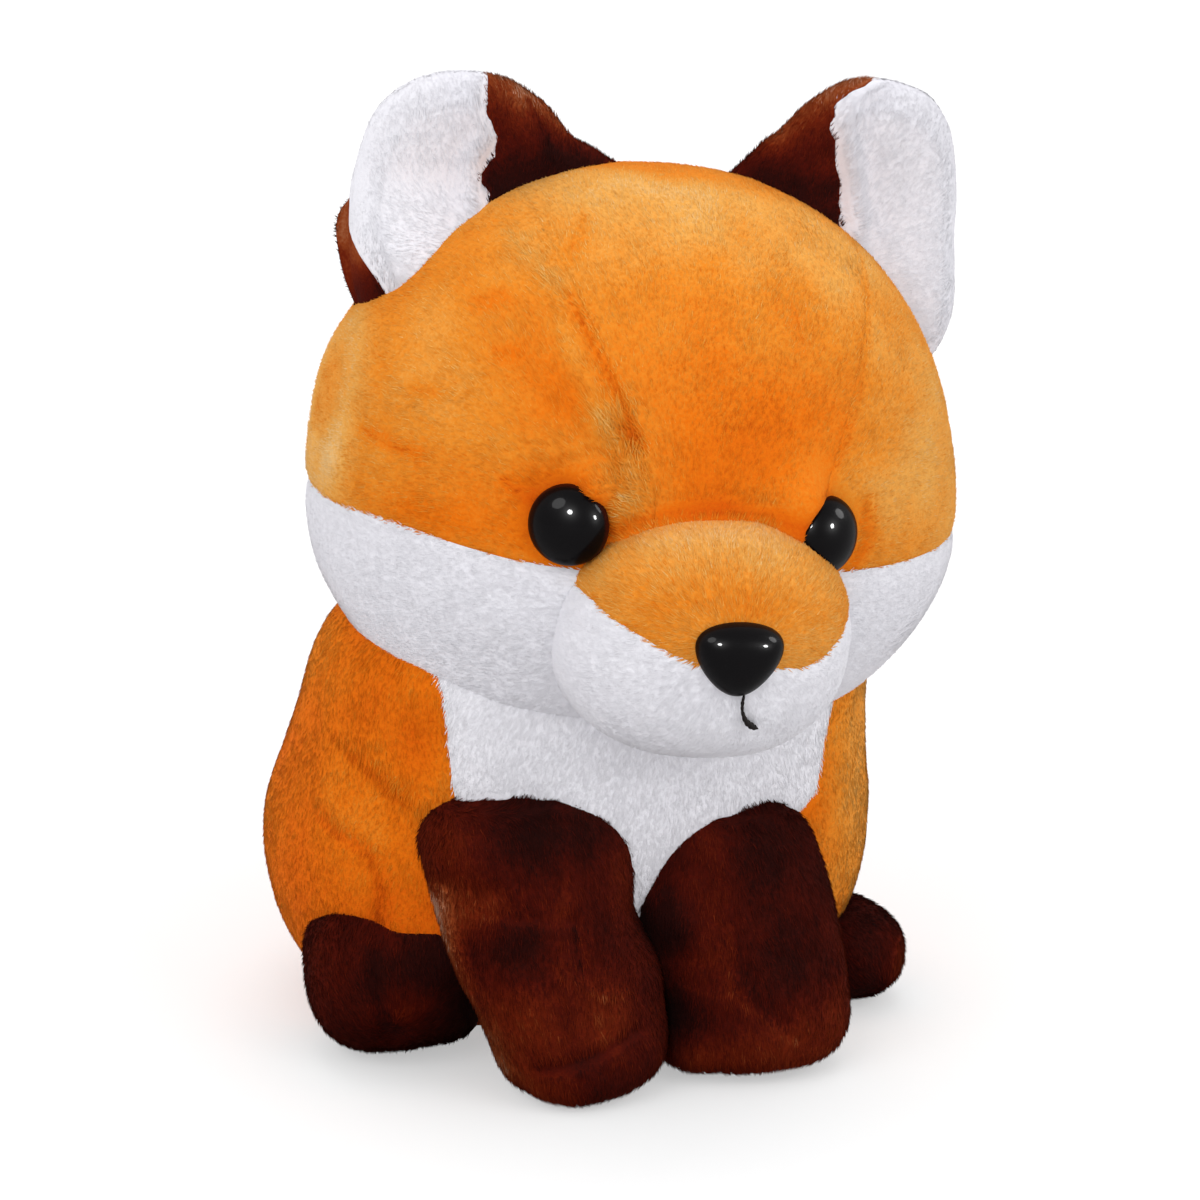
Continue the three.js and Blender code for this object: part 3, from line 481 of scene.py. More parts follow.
# Head: one rounded form, swelling a little at the cheeks
head = dict(
    size=(88, 78, 82, 90, 70), fullness=2.15, pileDepth=0.5, cheekSwell=0.03, cheekLevel=-21.7, cheekSpread=34.3,
    place=(7.8, -33, 158), roll=4.5, yaw=-5, gussetAside=7, temple=3.6, shade=0.62, seed=3,
    lumps=[(34, 0.5, 0.05), (13, 0.2, 0.05), (6, 0.06, 0.03)],
    creases=[
        ((-36, 62, -33, 54.5, -29.4, 47, -25.8, 40, -22.2, 32, -20.6, 27), 0.9, -0.9, -0.22),
        ((-38.5, 54, -35.5, 46, -32, 38, -29, 30), 3, 0.5, 0.1), ((-30, 52, -25.5, 43, -21, 33), 2, 0.4, 0.06),
        ((-26, 33, -23, 24, -22.5, 15, -24, 8), 5, 1, 0.1, 0.7), ((-24, 31, -21.5, 27), 1.8, 0.4, -0.16, 1),
        ((-28, 79, -31, 75, -33, 72), 0.8, -0.4, -0.15), ((-44, 71, -41, 67, -37, 62), 3, 0.3, 0.06, 0.4),
        ((-83, 20.5, -78, 19.5, -73, 18.5), 0.6, -0.7, -0.28), ((-52, 14.5, -47, 11.5), 0.9, -0.8, -0.28),
        ((-82, 48, -86, 36, -88.5, 26, -90, 14), 1, -1.2, -0.12, 0, 1),
        ((-80, 48, -84, 36, -86.5, 26, -88, 14, -89, 0), 1.6, 0.5, 0.16, 0, 1),
        ((29.5, 13, 40, 36, 46.5, 56, 53, 76), 0.5, -0.3, -0.12), ((-57, 57, -51, 60), 0.7, -0.3, -0.18),
        ((-54, 46, -50, 47), 0.7, -0.3, -0.18), ((-73, 34, -68, 34.5), 0.7, -0.3, -0.15),
        ((23, 60, 24, 52), 0.6, -0.2, -0.12), ((-26, 4.5, -13, 9.6, 1.4, 11.4, 16, 9.4, 27, 5), 1.5, -0.8, -0.22),
        ((44, 12, 46, 3, 42, -5), 2.2, -0.6, -0.2), ((21, 2, 22.5, 12, 27, 17), 4, 0, 0, -1.2),
    ],
    bumps=[
        (22, 8, 5, 10, 7.5), (26.5, 15, 4.5, 3.5, 4), (-31, 15, 4, 4, 5.5), (-50, -48, 26, 9, 1.8),
        (48, -46, 20, 9, 0.8),
    ],
    # Painted light and shade with the fabric's own tone: paler over the crown and at the sides' edges where light
    # falls
    patches=[
        (-42, 34, 12, 18, -0.1), (-42, 8, 8, 10, -0.1), (6, 26, 26, 18, -0.12), (-4, 14, 14, 7, -0.06),
        (0, 88, 60, 22, 0.24), (-72, 46, 20, 30, 0.07), (74, 30, 26, 34, 0.1), (43, 68, 14, 9, 0.12),
        (-91, 20, 6, 40, 0.17), (-70, 3, 12, 5, -0.1), (-60, 4, 22, 8, -0.05), (60, 0, 22, 8, 0.04),
        (52, 14, 14, 10, 0.1),
    ],
    grid=(220, 116),
)
muzzle = dict(
    size=(40.5, 39, 39, 34, 34), fullness=2.25, pileDepth=0.8, place=(1.6, -64, -23), shade=0.74, seed=5,
    lumps=[(14, 0.3, 0.05), (6, 0.08, 0.04)], seamAcross=[-43, -31, -20, -10, 2, 14, 22, 31, 38, 43],
    seamUp=[-3, -12.8, -19, -22.7, -24.5, -24, -24.4, -20, -16, -12],
    creases=[((9.4, -41.4, 13, -42.6, 17, -43.2), 1.3, -0.5, -0.1)],
    # Patches: a painted highlight along the top, and darker patches lower down
    patches=[(0, 7, 30, 5, 0.12), (-16, -12, 12, 8, -0.08), (14, -10, 10, 6, -0.05), (0, -8, 14, 5, -0.07)],
    pile=dict(length=2.6, density=3.2, width=0.42, lift=10, rootDepth=0.15), lowerShade=0.14, grid=(120, 64),
)
cheeks = dict(shade=0.8)


def turned(degrees, first, second):
    matrix = np.eye(3)
    angle = math.radians(degrees)
    matrix[first, first] = matrix[second, second] = math.cos(angle)
    matrix[first, second], matrix[second, first] = -math.sin(angle), math.sin(angle)
    return matrix


headTurn = turned(head["yaw"], 0, 1) @ turned(-head["roll"], 0, 2)


def headToFox(points):
    return points @ headTurn.T + head["place"]


def foxToHead(points):
    return (points - head["place"]) @ headTurn


def shrunk(look):
    return tuple(reach - look["pileDepth"] for reach in look["size"]) + (look["fullness"],)


def cheekSwell(points):
    return 1 + head["cheekSwell"] * bell(points[:, 2] - head["cheekLevel"], head["cheekSpread"])


def headDistance(points):
    points = foxToHead(points)
    points[:, 0] /= cheekSwell(points)
    return roundedDistance(points, *shrunk(head))


def muzzleDistance(points):
    return roundedDistance(foxToHead(points) - muzzle["place"], *shrunk(muzzle))


# Height over the seam of the cheeks, which rises to the sides and drops to the nape
def overCheekSeam(points):
    angle = np.degrees(np.arctan2(points[:, 0], -points[:, 1]))
    away = np.abs(angle)
    front = -7 + 5 * np.minimum(away / 90, 1) ** 2 + 3.5 * bell(angle + 60, 20)
    return points[:, 2] - front - (-50 - front) * ease(away, 100, 172)


# Distance outside the strip over the head, which widens with the height and whose edges are seams
def outsideGusset(points):
    return np.abs(points[:, 0] - head["gussetAside"]) - np.interp(points[:, 2], [14, 76], [23, 46])


# Eyes: shallow domes turned outwards, each with a thin lip and a post behind it
eyes = dict(
    radius=10.8, dome=8.2, spread=35.2, aside=-2.9, level=4.8, cant=0.7, turn=31, sink=2.2, post=2.2, around=64,
)


# Place and way of an eye: on the head's form, where the powers of its shares sum to 1, and then sunk
def eyeFrame(side):
    angle = math.radians(eyes["turn"])
    way = np.array([side * math.sin(angle), -math.cos(angle), 0])
    wide, front, _, up, _ = head["size"]
    x, z = side * eyes["spread"] + eyes["aside"], eyes["level"] - side * eyes["cant"]
    rest = 1 - abs(x / wide) ** head["fullness"] - (z / up) ** head["fullness"]
    return np.array([x, -front * rest ** (1 / head["fullness"]), z]) - eyes["sink"] * way, way


def eyeDistance(side):
    place, _ = eyeFrame(side)
    return lambda points: np.linalg.norm(foxToHead(points) - place, axis=1) - eyes["radius"] + 0.6


eyeDistances = [eyeDistance(-1), eyeDistance(1)]


def makeHead():
    turn, rise, faces = closedGrid(*head["grid"])
    points = roundedPoints(turn, rise, *shrunk(head))
    points[:, 0] *= cheekSwell(points)
    points[:, 0] -= head["temple"] * (bell(points[:, 2] - 31, 24) * ease(-points[:, 0], 42, 80))
    seam, strip = overCheekSeam(points), outsideGusset(points)
    normal = normalsOf(points, faces)
    around = np.zeros(len(points))
    for side, _ in bothSides:
        place, _ = eyeFrame(side)
        around += bell(np.linalg.norm(points - place, axis=1) - eyes["radius"] + 1, 3.5)
    points = points + normal * (-0.9 * bell(seam, 2.5) - 1.5 * around)[:, None]
    # The pile runs back from the nose, and more level on the sides
    comb = points - np.array([0, -105, -22])
    comb[:, 2] *= 1 - 0.6 * ease(np.abs(points[:, 0]), 35, 70)
    middle = points[:, 0]
    whole = surfaceOf(points, faces, comb, head, seam, strip, middle, lambda p: muzzleDistance(p) + 3, turn=headTurn)
    # Paler on the left side outside the gusset; round the eyes the colour is darkened as painted shade in their dents
    whole[0][:, 9] += 0.06 * ease(strip, 0, 2) * ease(middle, 0, 8) - 0.14 * around
    whole = partOf(whole, 3)
    hidden = [muzzleDistance] + eyeDistances
    crown, lower = partOf(whole, 0), partOf(whole, 0, -1)
    makePanel("head_gusset", partOf(crown, 1, -1), "orange_plush", 100, hidden, ["head_filling"])
    sides = partOf(crown, 1)
    lower[0][:, 9] = cheeks["shade"] + 0.3 * (lower[0][:, 9] - head["shade"])
    for side, name in bothSides:
        makePanel(f"head_side_{name}", partOf(sides, 2, side), "orange_plush", 110 + side, hidden,
                  [f"eye_washer_{name}"])
        makePanel(f"cheek_{name}", partOf(lower, 2, side), "white_plush", 120 + side, hidden)


def makeMuzzle():
    turn, rise, faces = closedGrid(*muzzle["grid"])
    points = roundedPoints(turn, rise, *shrunk(muzzle)) + muzzle["place"]
    seam = points[:, 2] - smoothAt(muzzle["seamAcross"], muzzle["seamUp"], points[:, 0])
    points = points + normalsOf(points, faces) * (-0.5 * bell(seam, 2))[:, None]
    seam = seam + 0.5 * noise(points, 3, 60)
    comb = points - np.array([0, -112, -18])
    whole = partOf(surfaceOf(points, faces, comb, muzzle, seam, lambda p: headDistance(p) + 3, turn=headTurn), 1)
    hidden = [headDistance] + eyeDistances
    top, lower = partOf(whole, 0), partOf(whole, 0, -1)
    lower[0][:, 9] += muzzle["lowerShade"]
    makePanel("muzzle_top", top, "orange_plush", 130, hidden, ["muzzle_filling"], muzzle["pile"])
    makePanel("muzzle_lower", lower, "white_plush", 131, hidden, ["nose_washer"], muzzle["pile"])


# Glossy black plastic, red-brown where it thins to the rim, with faint moulding marks
def plasticMaterial(name, rimColour):
    material, tree, shader = newMaterial(name, 0.35, 0.02)
    setInputs(shader, {"Coat Weight": 0.1, "Coat Roughness": 0.04})
    stops = [(0, (0.002, 0.0015, 0.002)), (0.6, (0.003, 0.002, 0.0025)), (1, rimColour)]
    rim = addNode(tree, "Attribute", attribute_name="rim")
    join(addRamp(rim, "Fac", stops), "Color", shader, "Base Color")
    addBump(addGrain(tree, 160), shader, 0.05, 0.001)
    return material


def putFitting(name, points, faces, material, slot, **values):
    piece = putMesh(name, headToFox(points), faces, material, **values)
    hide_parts(name)
    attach(piece, "root")


# Each eye is a profile from its post to its dome, turned round its axis
def makeEyes():
    material = plasticMaterial("eye_plastic", (0.035, 0.004, 0.002))
    radius, post = eyes["radius"], eyes["post"]
    arc = np.linspace(0, np.pi / 2, 26)
    reach = np.concatenate([[0, post, post, radius - 0.8, radius - 0.2], radius * np.cos(arc)])
    height = np.concatenate([[-9, -9, -0.9, -0.9, -0.6], eyes["dome"] * np.sin(arc)])
    turn, rise, faces = closedGrid(eyes["around"], len(reach) - 1)
    row = np.rint(rise * (len(reach) - 1)).astype(int)
    around = 2 * np.pi * turn
    for side, name in bothSides:
        place, way = eyeFrame(side)
        aside = np.array([-way[1], way[0], 0])
        points = place + height[row, None] * way + reach[row, None] * (
            np.cos(around)[:, None] * aside + np.sin(around)[:, None] * np.array([0, 0, 1]))
        rim = ease(reach[row] / radius, 0.88, 1.0)
        putFitting(f"eye_{name}", points, faces, material, "eye_plastic", rim=rim)


# Nose: a rounded triangle, flat on top, as a dome over a flat back with its post
nose = dict(halfWidth=11.4, halfHeight=9.7, depth=7.4, level=-19.8, aside=1.5, sink=1.6, taper=0.24, grid=(72, 40))


# How far ahead the muzzle reaches at a place of the front view, where the powers of its shares sum to 1
def muzzleFrontAt(x, z):
    side, front, _, up, _ = muzzle["size"]
    power = muzzle["fullness"]
    rest = 1 - np.abs((x - muzzle["place"][0]) / side) ** power - np.abs((z - muzzle["place"][2]) / up) ** power
    return -muzzle["place"][1] + front * np.maximum(rest, 0) ** (1 / power)


def makeNose():
    turn, rise, faces = closedGrid(*nose["grid"])
    around = 2 * np.pi * turn
    up = -np.cos(around)
    back = rise < 0.3
    tilt = np.where(back, 0, np.pi / 2 * (rise - 0.3) / 0.7)
    reach = np.where(back, rise / 0.3, np.cos(tilt) ** 0.8)
    x = np.sin(around) * nose["halfWidth"] * (1 + nose["taper"] * up) * reach + nose["aside"]
    z = (up - 0.13 * up**2 - 0.05) * nose["halfHeight"] * reach + nose["level"]
    y = nose["sink"] - muzzleFrontAt(nose["aside"], nose["level"]) - nose["depth"] * np.sin(tilt)
    material = plasticMaterial("nose_plastic", (0.008, 0.004, 0.003))
    putFitting("nose", np.stack([x, y, z], 1), faces, material, "eye_plastic",
               rim=ease(reach, 0.85, 1.0) * ~back)


# Tube along a path, closed at both ends: circles square to it, each with its own reach
def tubePoints(turn, rise, centres, spread, upwards):
    ring = np.rint(rise * (len(centres) - 1)).astype(int)
    tangent = unit(np.gradient(centres, axis=0))
    side = unit(np.cross(tangent, upwards))
    over = np.cross(tangent, side)
    around = 2 * np.pi * turn[:, None]
    return centres[ring] + spread[ring, None] * (np.cos(around) * side[ring] + np.sin(around) * over[ring])


# Mouth: a thread lying on the muzzle, along a smooth route under the nose
mouth = dict(
    route=[(3.4, -29.6), (3.2, -32.4), (3.6, -35.2), (5.2, -38.2), (7.4, -39.9), (9.4, -40.8)],
    spread=[0.3, 0.45, 0.4, 0.7, 0.85, 0.35], around=14, steps=60, lift=0.9,
)


def makeMouth():
    turn, rise, faces = closedGrid(mouth["around"], mouth["steps"])
    share, index = np.linspace(0, 1, mouth["steps"] + 1), np.arange(len(mouth["route"]))
    at = np.linspace(0, index[-1], len(share))
    x, z = (smoothAt(index, values, at) for values in zip(*mouth["route"]))
    centres = np.stack([x, -muzzleFrontAt(x, z) - mouth["lift"], z], 1)
    spread = smoothAt(index, mouth["spread"], at) * (1 - (2 * share - 1) ** 8) * (1 + 0.12 * np.sin(share * 60))
    points = tubePoints(turn, rise, centres, spread, (0, -1, 0))
    material, tree, shader = newMaterial("mouth_thread", 0.8, 0.08)
    stops = [(0.3, (0.003, 0.002, 0.002)), (0.7, (0.012, 0.007, 0.006))]
    join(addRamp(addGrain(tree, 1500), "Fac", stops), "Color", shader, "Base Color")
    putFitting("mouth_stitch", points, faces, material, "mouth_thread")


# Body: pear-shaped sections from the seat up, leaning forwards under the head
body = dict(
    height=140, halfWidth=87, front=76, back=84, side=1, aside=(0, 0), ahead=(0, 30), fullness=2.3, pileDepth=1,
    heights=[0, 0.07, 0.21, 0.39, 0.66, 0.85, 1], widths=[0.71, 0.85, 0.965, 1, 0.93, 0.875, 0.69],
    fronts=[0.6, 0.74, 0.91, 1, 0.92, 0.82, 0.66], backs=[0.71, 0.86, 0.98, 1, 0.88, 0.76, 0.6],
    aheads=[-0.13, -0.13, -0.07, 0, 0.43, 0.8, 1], asides=[0] * 7, tuck=14, bibAside=-2.5,
    bibHalfWidth=55.5, bibFlare=0.12, bibCorner=80, bibPoint=39, shade=0.49, seed=7,
    lumps=[(38, 0.4, 0.05), (15, 0.25, 0.05), (6, 0.1, 0.04)],
    creases=[
        ((-83, 72, -79, 68.5, -73, 65, -71, 56, -71, 45), 1.2, -0.7, -0.2, 0.3),
        ((-83, 77, -78, 73, -71, 70, -66, 62), 3, 0.2, 0.03),
        ((-80, 97, -76, 92, -71, 87, -67, 83), 1.2, -0.5, -0.14, 0.5),
        ((-72, 96, -68, 88, -62, 80), 3, 0.2, 0.04, 0.3),
    ],
    # Painted light and shade with the fabric's own tone: paler on the left flank where light falls, and a painted
    # shadow low by the right foot
    patches=[
        (-58, 104, 14, 18, -0.06), (-66, 46, 24, 14, -0.12), (-57, 92, 4, 22, 0.12), (74, 84, 24, 60, 0.27),
        (-86, 118, 12, 16, 0.16), (-66, 100, 6, 10, -0.05), (-44, 30, 8, 24, -0.5),
    ],
    grid=(190, 96),
)
# The bib's white is painted lighter than the cheeks' to offset the shade under the head
bib = dict(shade=0.95)


def bodyDistance(points):
    return stationDistance(points, body)


# Front legs: sections from the sole up, spreading from the paws to the shoulders
legs = dict(
    halfWidth=30, front=26, back=26, ahead=(70, 62), fullness=2.3, pileDepth=1,
    heights=[0, 0.04, 0.125, 0.26, 0.45, 0.65, 0.81, 0.93, 1], fronts=[0.6, 0.87, 1, 1, 0.97, 0.97, 0.86, 0.52, 0.08],
    backs=[0.6, 0.87, 1, 1, 0.97, 0.97, 0.86, 0.52, 0.08], asides=[0, 0, 0, 0.15, 0.5, 0.83, 1, 1, 1],
    aheads=[0.3, 0.1, 0, 0.15, 0.5, 0.9, 1, 1, 1], topFluff=0.35, topLumps=1.6, overlap=4, shade=0.48,
    lumps=[(26, 0.7, 0.05), (11, 0.3, 0.08), (5, 0.1, 0.05)], grid=(104, 84),
)
rightLeg = dict(
    legs, side=-1, height=96, aside=(24.5, 34), seed=9, widths=[0.46, 0.69, 0.82, 0.9, 0.99, 1.01, 0.95, 0.66, 0.08],
    asides=[-0.28, -0.26, -0.2, 0.06, 0.48, 0.83, 1, 1, 1],
    creases=[
        ((-53, 57.5, -44, 56, -30, 55), 0.6, -0.8, 0.13), ((-29.5, 54.5, -29.2, 49, -28.2, 41), 0.8, -1.1, -0.2),
        ((-28, 54.5, -27.7, 49, -26.7, 41), 0.5, 0.3, 0.16), ((-30, 82, -30.5, 70, -32.5, 58), 0.7, -0.5, 0.1),
        ((-49, 66, -47.5, 60, -44.5, 56), 0.5, -0.4, 0.14), ((-43, 65, -44, 60, -42, 57), 0.5, -0.4, 0.12),
        ((-66, 62, -58, 63.5, -50, 62), 3, -1, 0.06, 0.4),
        # A painted rim light down the outer edge, and the outer side painted paler where light falls
        ((-61.8, 60, -60.3, 52, -58.2, 43, -55.8, 34), 0.5, 0.3, 0.42, 0, 1),
        ((-62, 54, -57, 34, -55, 25, -51, 17, -47, 9), 4, 0, 0.24, 0, 1),
        ((-39, 13.5, -26, 17.5, -12, 22.5), 2, -1.2, -0.14),
        ((-34, 41, -28, 37, -21, 33.5, -13, 34), 0.6, -0.3, 0.16, 0.5), ((-26, 32, -24, 24, -20, 18), 0.5, 0, 0.1),
        ((-44, 36, -41, 28), 0.5, 0, 0.08),
    ],
    bumps=[
        (-60, 72, 8, 9, 2), (-50, 91, 11, 9, -5), (-4, 52, 7, 10, -3.2), (-58, 8, 10, 12, -5), (-28, 5, 14, 8, 2.5),
    ],
    # Painted light and shade with the fabric's own tone: darker at the top under the chest, paler at the outer edge
    patches=[
        (-41, 78, 12, 10, -0.24), (-59, 60, 9, 7, 0.22), (-44, 49, 9, 8, -0.16), (-19, 45, 7, 8, -0.1),
        (-20, 26, 9, 10, 0.2), (-44, 24, 11, 12, 0.21), (-60, 76, 8, 8, 0.14), (-13, 62, 6, 12, 0.16),
        (-34, 66, 6, 8, 0.06), (-26, 9, 14, 5, -0.06), (-42, 8, 10, 6, 0.2),
    ],
)
leftLeg = dict(
    legs, side=1, height=85, aside=(30, 22), seed=10, widths=[0.52, 0.76, 0.9, 0.95, 0.98, 0.96, 0.84, 0.55, 0.08],
    creases=[
        ((15.7, 46, 16.2, 38.7, 14.9, 30, 19.6, 25.4, 26, 19.8, 34, 14.4), 0.9, -0.9, 0.12, 0.3),
        ((18.5, 44, 18.5, 34, 22, 27, 30, 20), 2, -0.5, -0.1), ((4, 31, 12, 29, 20, 31), 0.6, -0.3, 0.1),
        ((58, 50, 60, 30, 58, 16), 3, 0, 0.2), ((1, 56, 3, 44), 2, -0.5, -0.12),
    ],
    bumps=[(1, 47, 6, 8, 3.5), (4, 6, 7, 8, 4.5)],
    # Painted light and shade with the fabric's own tone: darker at the top and by the other leg
    patches=[
        (27, 64, 13, 13, -0.2), (1, 46, 8, 9, -0.28), (34, 40, 12, 12, -0.12), (4, 22, 5, 7, -0.26),
        (9, 37, 8, 6, 0.14), (14, 27, 10, 5, 0.12), (24, 14, 14, 7, 0.2), (46, 18, 10, 9, 0.2), (12, 69, 6, 6, 0.14),
        (7, 10, 6, 5, 0.14), (10, 57, 6, 12, 0.08), (40, 8, 16, 5, 0.18),
    ],
)


def legDistance(look):
    return lambda points: stationDistance(points, look)


# Hind feet: rounded forms cut flat by the floor
feet = dict(
    fullness=2.4, pileDepth=1, shade=0.38, toeLift=0, lumps=[(18, 0.6, 0.06), (8, 0.3, 0.06), (5, 0.1, 0.05)],
    grid=(84, 44),
)
rightFoot = dict(
    feet, side=-1, size=(22, 28, 28, 24.5, 24.5), place=(-65, -28, 24), seed=12, toeLift=4.5,
    creases=[((-74, 38, -75, 28, -72, 18, -66, 12), 1.8, -0.9, -0.12), ((-68.5, 44, -68, 39), 1, -0.5, 0.12)],
    bumps=[(-46, 12, 9, 11, 9), (-52, 34, 10, 9, 9), (-55, 41, 8, 7, 7)],
    # Painted light and shade with the fabric's own tone: a painted shadow on the inner part by the leg
    patches=[
        (-67, 22, 8, 8, 0.2), (-60, 32, 8, 6, -0.14), (-78, 40, 8, 6, 0.06), (-85, 24, 5, 14, 0.12),
        (-48, 20, 8, 16, -0.3),
    ],
)
leftFoot = dict(
    feet, side=1, size=(20, 24, 24, 13.8, 15.5), place=(72, -28, 15), seed=13,
    # Painted light and shade with the fabric's own tone
    patches=[(87, 14, 6, 8, 0.3), (76, 24, 8, 8, 0.04), (72, 12, 6, 8, -0.1)],
)


def footDistance(look):
    return lambda points: roundedDistance(points - look["place"], *shrunk(look))


limbDistances = [legDistance(rightLeg), legDistance(leftLeg), footDistance(rightFoot), footDistance(leftFoot)]


def makeBody():
    turn, rise, faces = closedGrid(*body["grid"])
    points = stationPoints(turn, rise, body)
    points[:, 1] += body["tuck"] * ease(-points[:, 1], 5, 45) * (1 - ease(points[:, 2], 0, 24))
    x, y, z = points.T
    across = body["bibHalfWidth"] + body["bibFlare"] * (z - 105) - np.abs(x - body["bibAside"])
    over = z - body["bibPoint"] - (body["bibCorner"] - body["bibPoint"]) * np.abs(x) / body["bibHalfWidth"]
    inBib = np.minimum(np.minimum(across, over), -y) + 0.5 * noise(points, 4, 70)
    points = points + normalsOf(points, faces) * (-0.6 * bell(inBib, 2))[:, None]
    white = ease(inBib, -1, 1)[:, None]
    comb = np.stack([0.15 * np.sign(x), 0 * x, -1 + 0 * x], 1) * (1 - white)
    comb = comb + white * np.stack([0.012 * (x - body["bibAside"]), 0 * x, -1 + 0 * x], 1)
    whole = surfaceOf(points, faces, comb, body, inBib, z - 1.3, x, lambda p: headDistance(p) + 3)
    whole = partOf(whole, 3)
    hidden = [headDistance, muzzleDistance] + limbDistances
    upper, base = partOf(whole, 1), partOf(whole, 1, -1)
    makePanel("body_base", base, "orange_plush", 140, hidden, settings={"density": 0.01})
    front, rest = partOf(upper, 0), partOf(upper, 0, -1)
    front[0][:, 9] = bib["shade"] + 0.3 * (front[0][:, 9] - body["shade"])
    makePanel("chest_bib", front, "white_plush", 141, hidden, ["body_filling"])
    for side, name in bothSides:
        makePanel(f"body_side_{name}", partOf(rest, 2, side), "orange_plush", 143 + side, hidden)


def makeLeg(look, name):
    turn, rise, faces = closedGrid(*look["grid"])
    points = stationPoints(turn, rise, look)
    comb = np.tile([0, -0.25, -1], (len(turn), 1))
    top = ease(points[:, 2], 0.8 * look["height"], 0.92 * look["height"])
    comb[:, 2] += 1.9 * top
    points[:, 2] += look["topLumps"] * top * noise(points, 5, look["seed"] + 60)
    inner = look["side"] * points[:, 0] + look["overlap"]
    whole = surfaceOf(points, faces, comb, look, inner, lambda p: bodyDistance(p) + 3)
    whole[0][:, 10] += look["topFluff"] * top
    other = leftLeg if look["side"] < 0 else rightLeg
    makePanel(f"front_leg_{name}", partOf(partOf(whole, 0), 1), "brown_plush", look["seed"] * 20,
              [bodyDistance, legDistance(other)], [f"front_leg_filling_{name}"])


def makeFoot(look, name):
    turn, rise, faces = closedGrid(*look["grid"])
    points = roundedPoints(turn, rise, *shrunk(look)) + look["place"]
    comb = np.tile([0.3 * look["side"], -1, -0.6], (len(turn), 1))
    toe = ease(look["place"][1] - points[:, 1], 0, 22) * (1 - ease(points[:, 2], 8, 34))
    inner = ease(look["side"] * (look["place"][0] - points[:, 0]), 2, 20)
    points[:, 2] += look["toeLift"] * toe * (1 + inner)
    whole = surfaceOf(points, faces, comb, look, lambda p: bodyDistance(p) + 3)
    makePanel(f"hind_foot_{name}", partOf(whole, 0), "brown_plush", look["seed"] * 20, [bodyDistance],
              [f"hind_foot_filling_{name}"])


# Ears: a pillow over a rounded outline, dished in front and curled back at its outer edge
ears = dict(
    outline=[
        (-0.3, 0.93), (0.13, 0.96), (0.53, 0.88), (0.83, 0.67), (0.98, 0.29), (1, -0.14), (0.9, -0.55), (0.67, -0.86),
        (0.13, -1), (-0.6, -0.76), (-1.3, -0.33),
    ],
    halfWidth=30, halfHeight=42, out=56, up=74, frontSwell=9, backSwell=15, setBack=5, curl=6, dish=0.45, edge=0.8,
    aside=3.5, lift=1.5, seamOut=48, seamBack=11, pileDepth=0.6, roll=1.3, rimShade=0.22, rootShade=-0.26,
    whiteShade=0.33, shade=0.52, seed=15, lumps=[(18, 0.3, 0.03), (8, 0.2, 0.03), (4, 0.1, 0.02)], rootSwell=14,
    backPile=dict(length=2.6, lift=16, ruffle=30, density=3, bare=2), grid=(150, 60),
)
# The right ear's brown back swells past its white front low at the outer edge. The left ear reaches
# lower, and its brown back rolls over its top. The seam's shift outwards is below zero.
rightEar = dict(
    ears, side=-1, inner=[(-1.95, 0.1), (-1.33, 0.44), (-0.98, 0.575), (-0.72, 0.76)],
    bulgeUp=[-36, -27, -18, -7, -1, 3], bulge=[2, 3, 4.2, 5.2, 3.8, 0], wrap=[6, 7.6], low=0, shift=0,
    seamUp=[4, 15, 22, 29, 38], seamShift=[-2, -3.5, -1, -4, -3.7],
    creases=[((-38, 109, -30, 107, -22, 100), 1, -0.6, 0.2, 0.5), ((-37, 104, -33, 98, -30, 92), 0.7, -0.4, -0.2)],
)
# The left ear's white front is painted darker than the right's, as painted shade
leftEar = dict(
    ears, side=1, inner=[(-1.45, 0.08), (-1.08, 0.44), (-0.86, 0.59), (-0.62, 0.78)], bulgeUp=[-10, 10], bulge=[0, 0],
    wrap=[0, 0], low=4.5, shift=2, whiteShade=0.24, rootSwell=3, seamUp=[0, 10, 18, 26, 32, 36, 39, 42],
    seamShift=[0, 1, 3, 5, 3.5, -1, -7, -12],
)


# Closed curve through the corners: a cubic between each two, with slopes from their neighbours
def earOutline(look, share):
    corners = np.array(look["inner"] + look["outline"]) * [look["halfWidth"], look["halfHeight"]]
    at = (share % 1) * len(corners)
    i = np.floor(at).astype(int)
    t = (at - i)[:, None]
    before, start, end, after = (corners[(i + step) % len(corners)] for step in (-1, 0, 1, 2))
    square, cube = 2 * before - 5 * start + 4 * end - after, 3 * start - before - 3 * end + after
    return 0.5 * (2 * start + (end - before) * t + square * t**2 + cube * t**3)


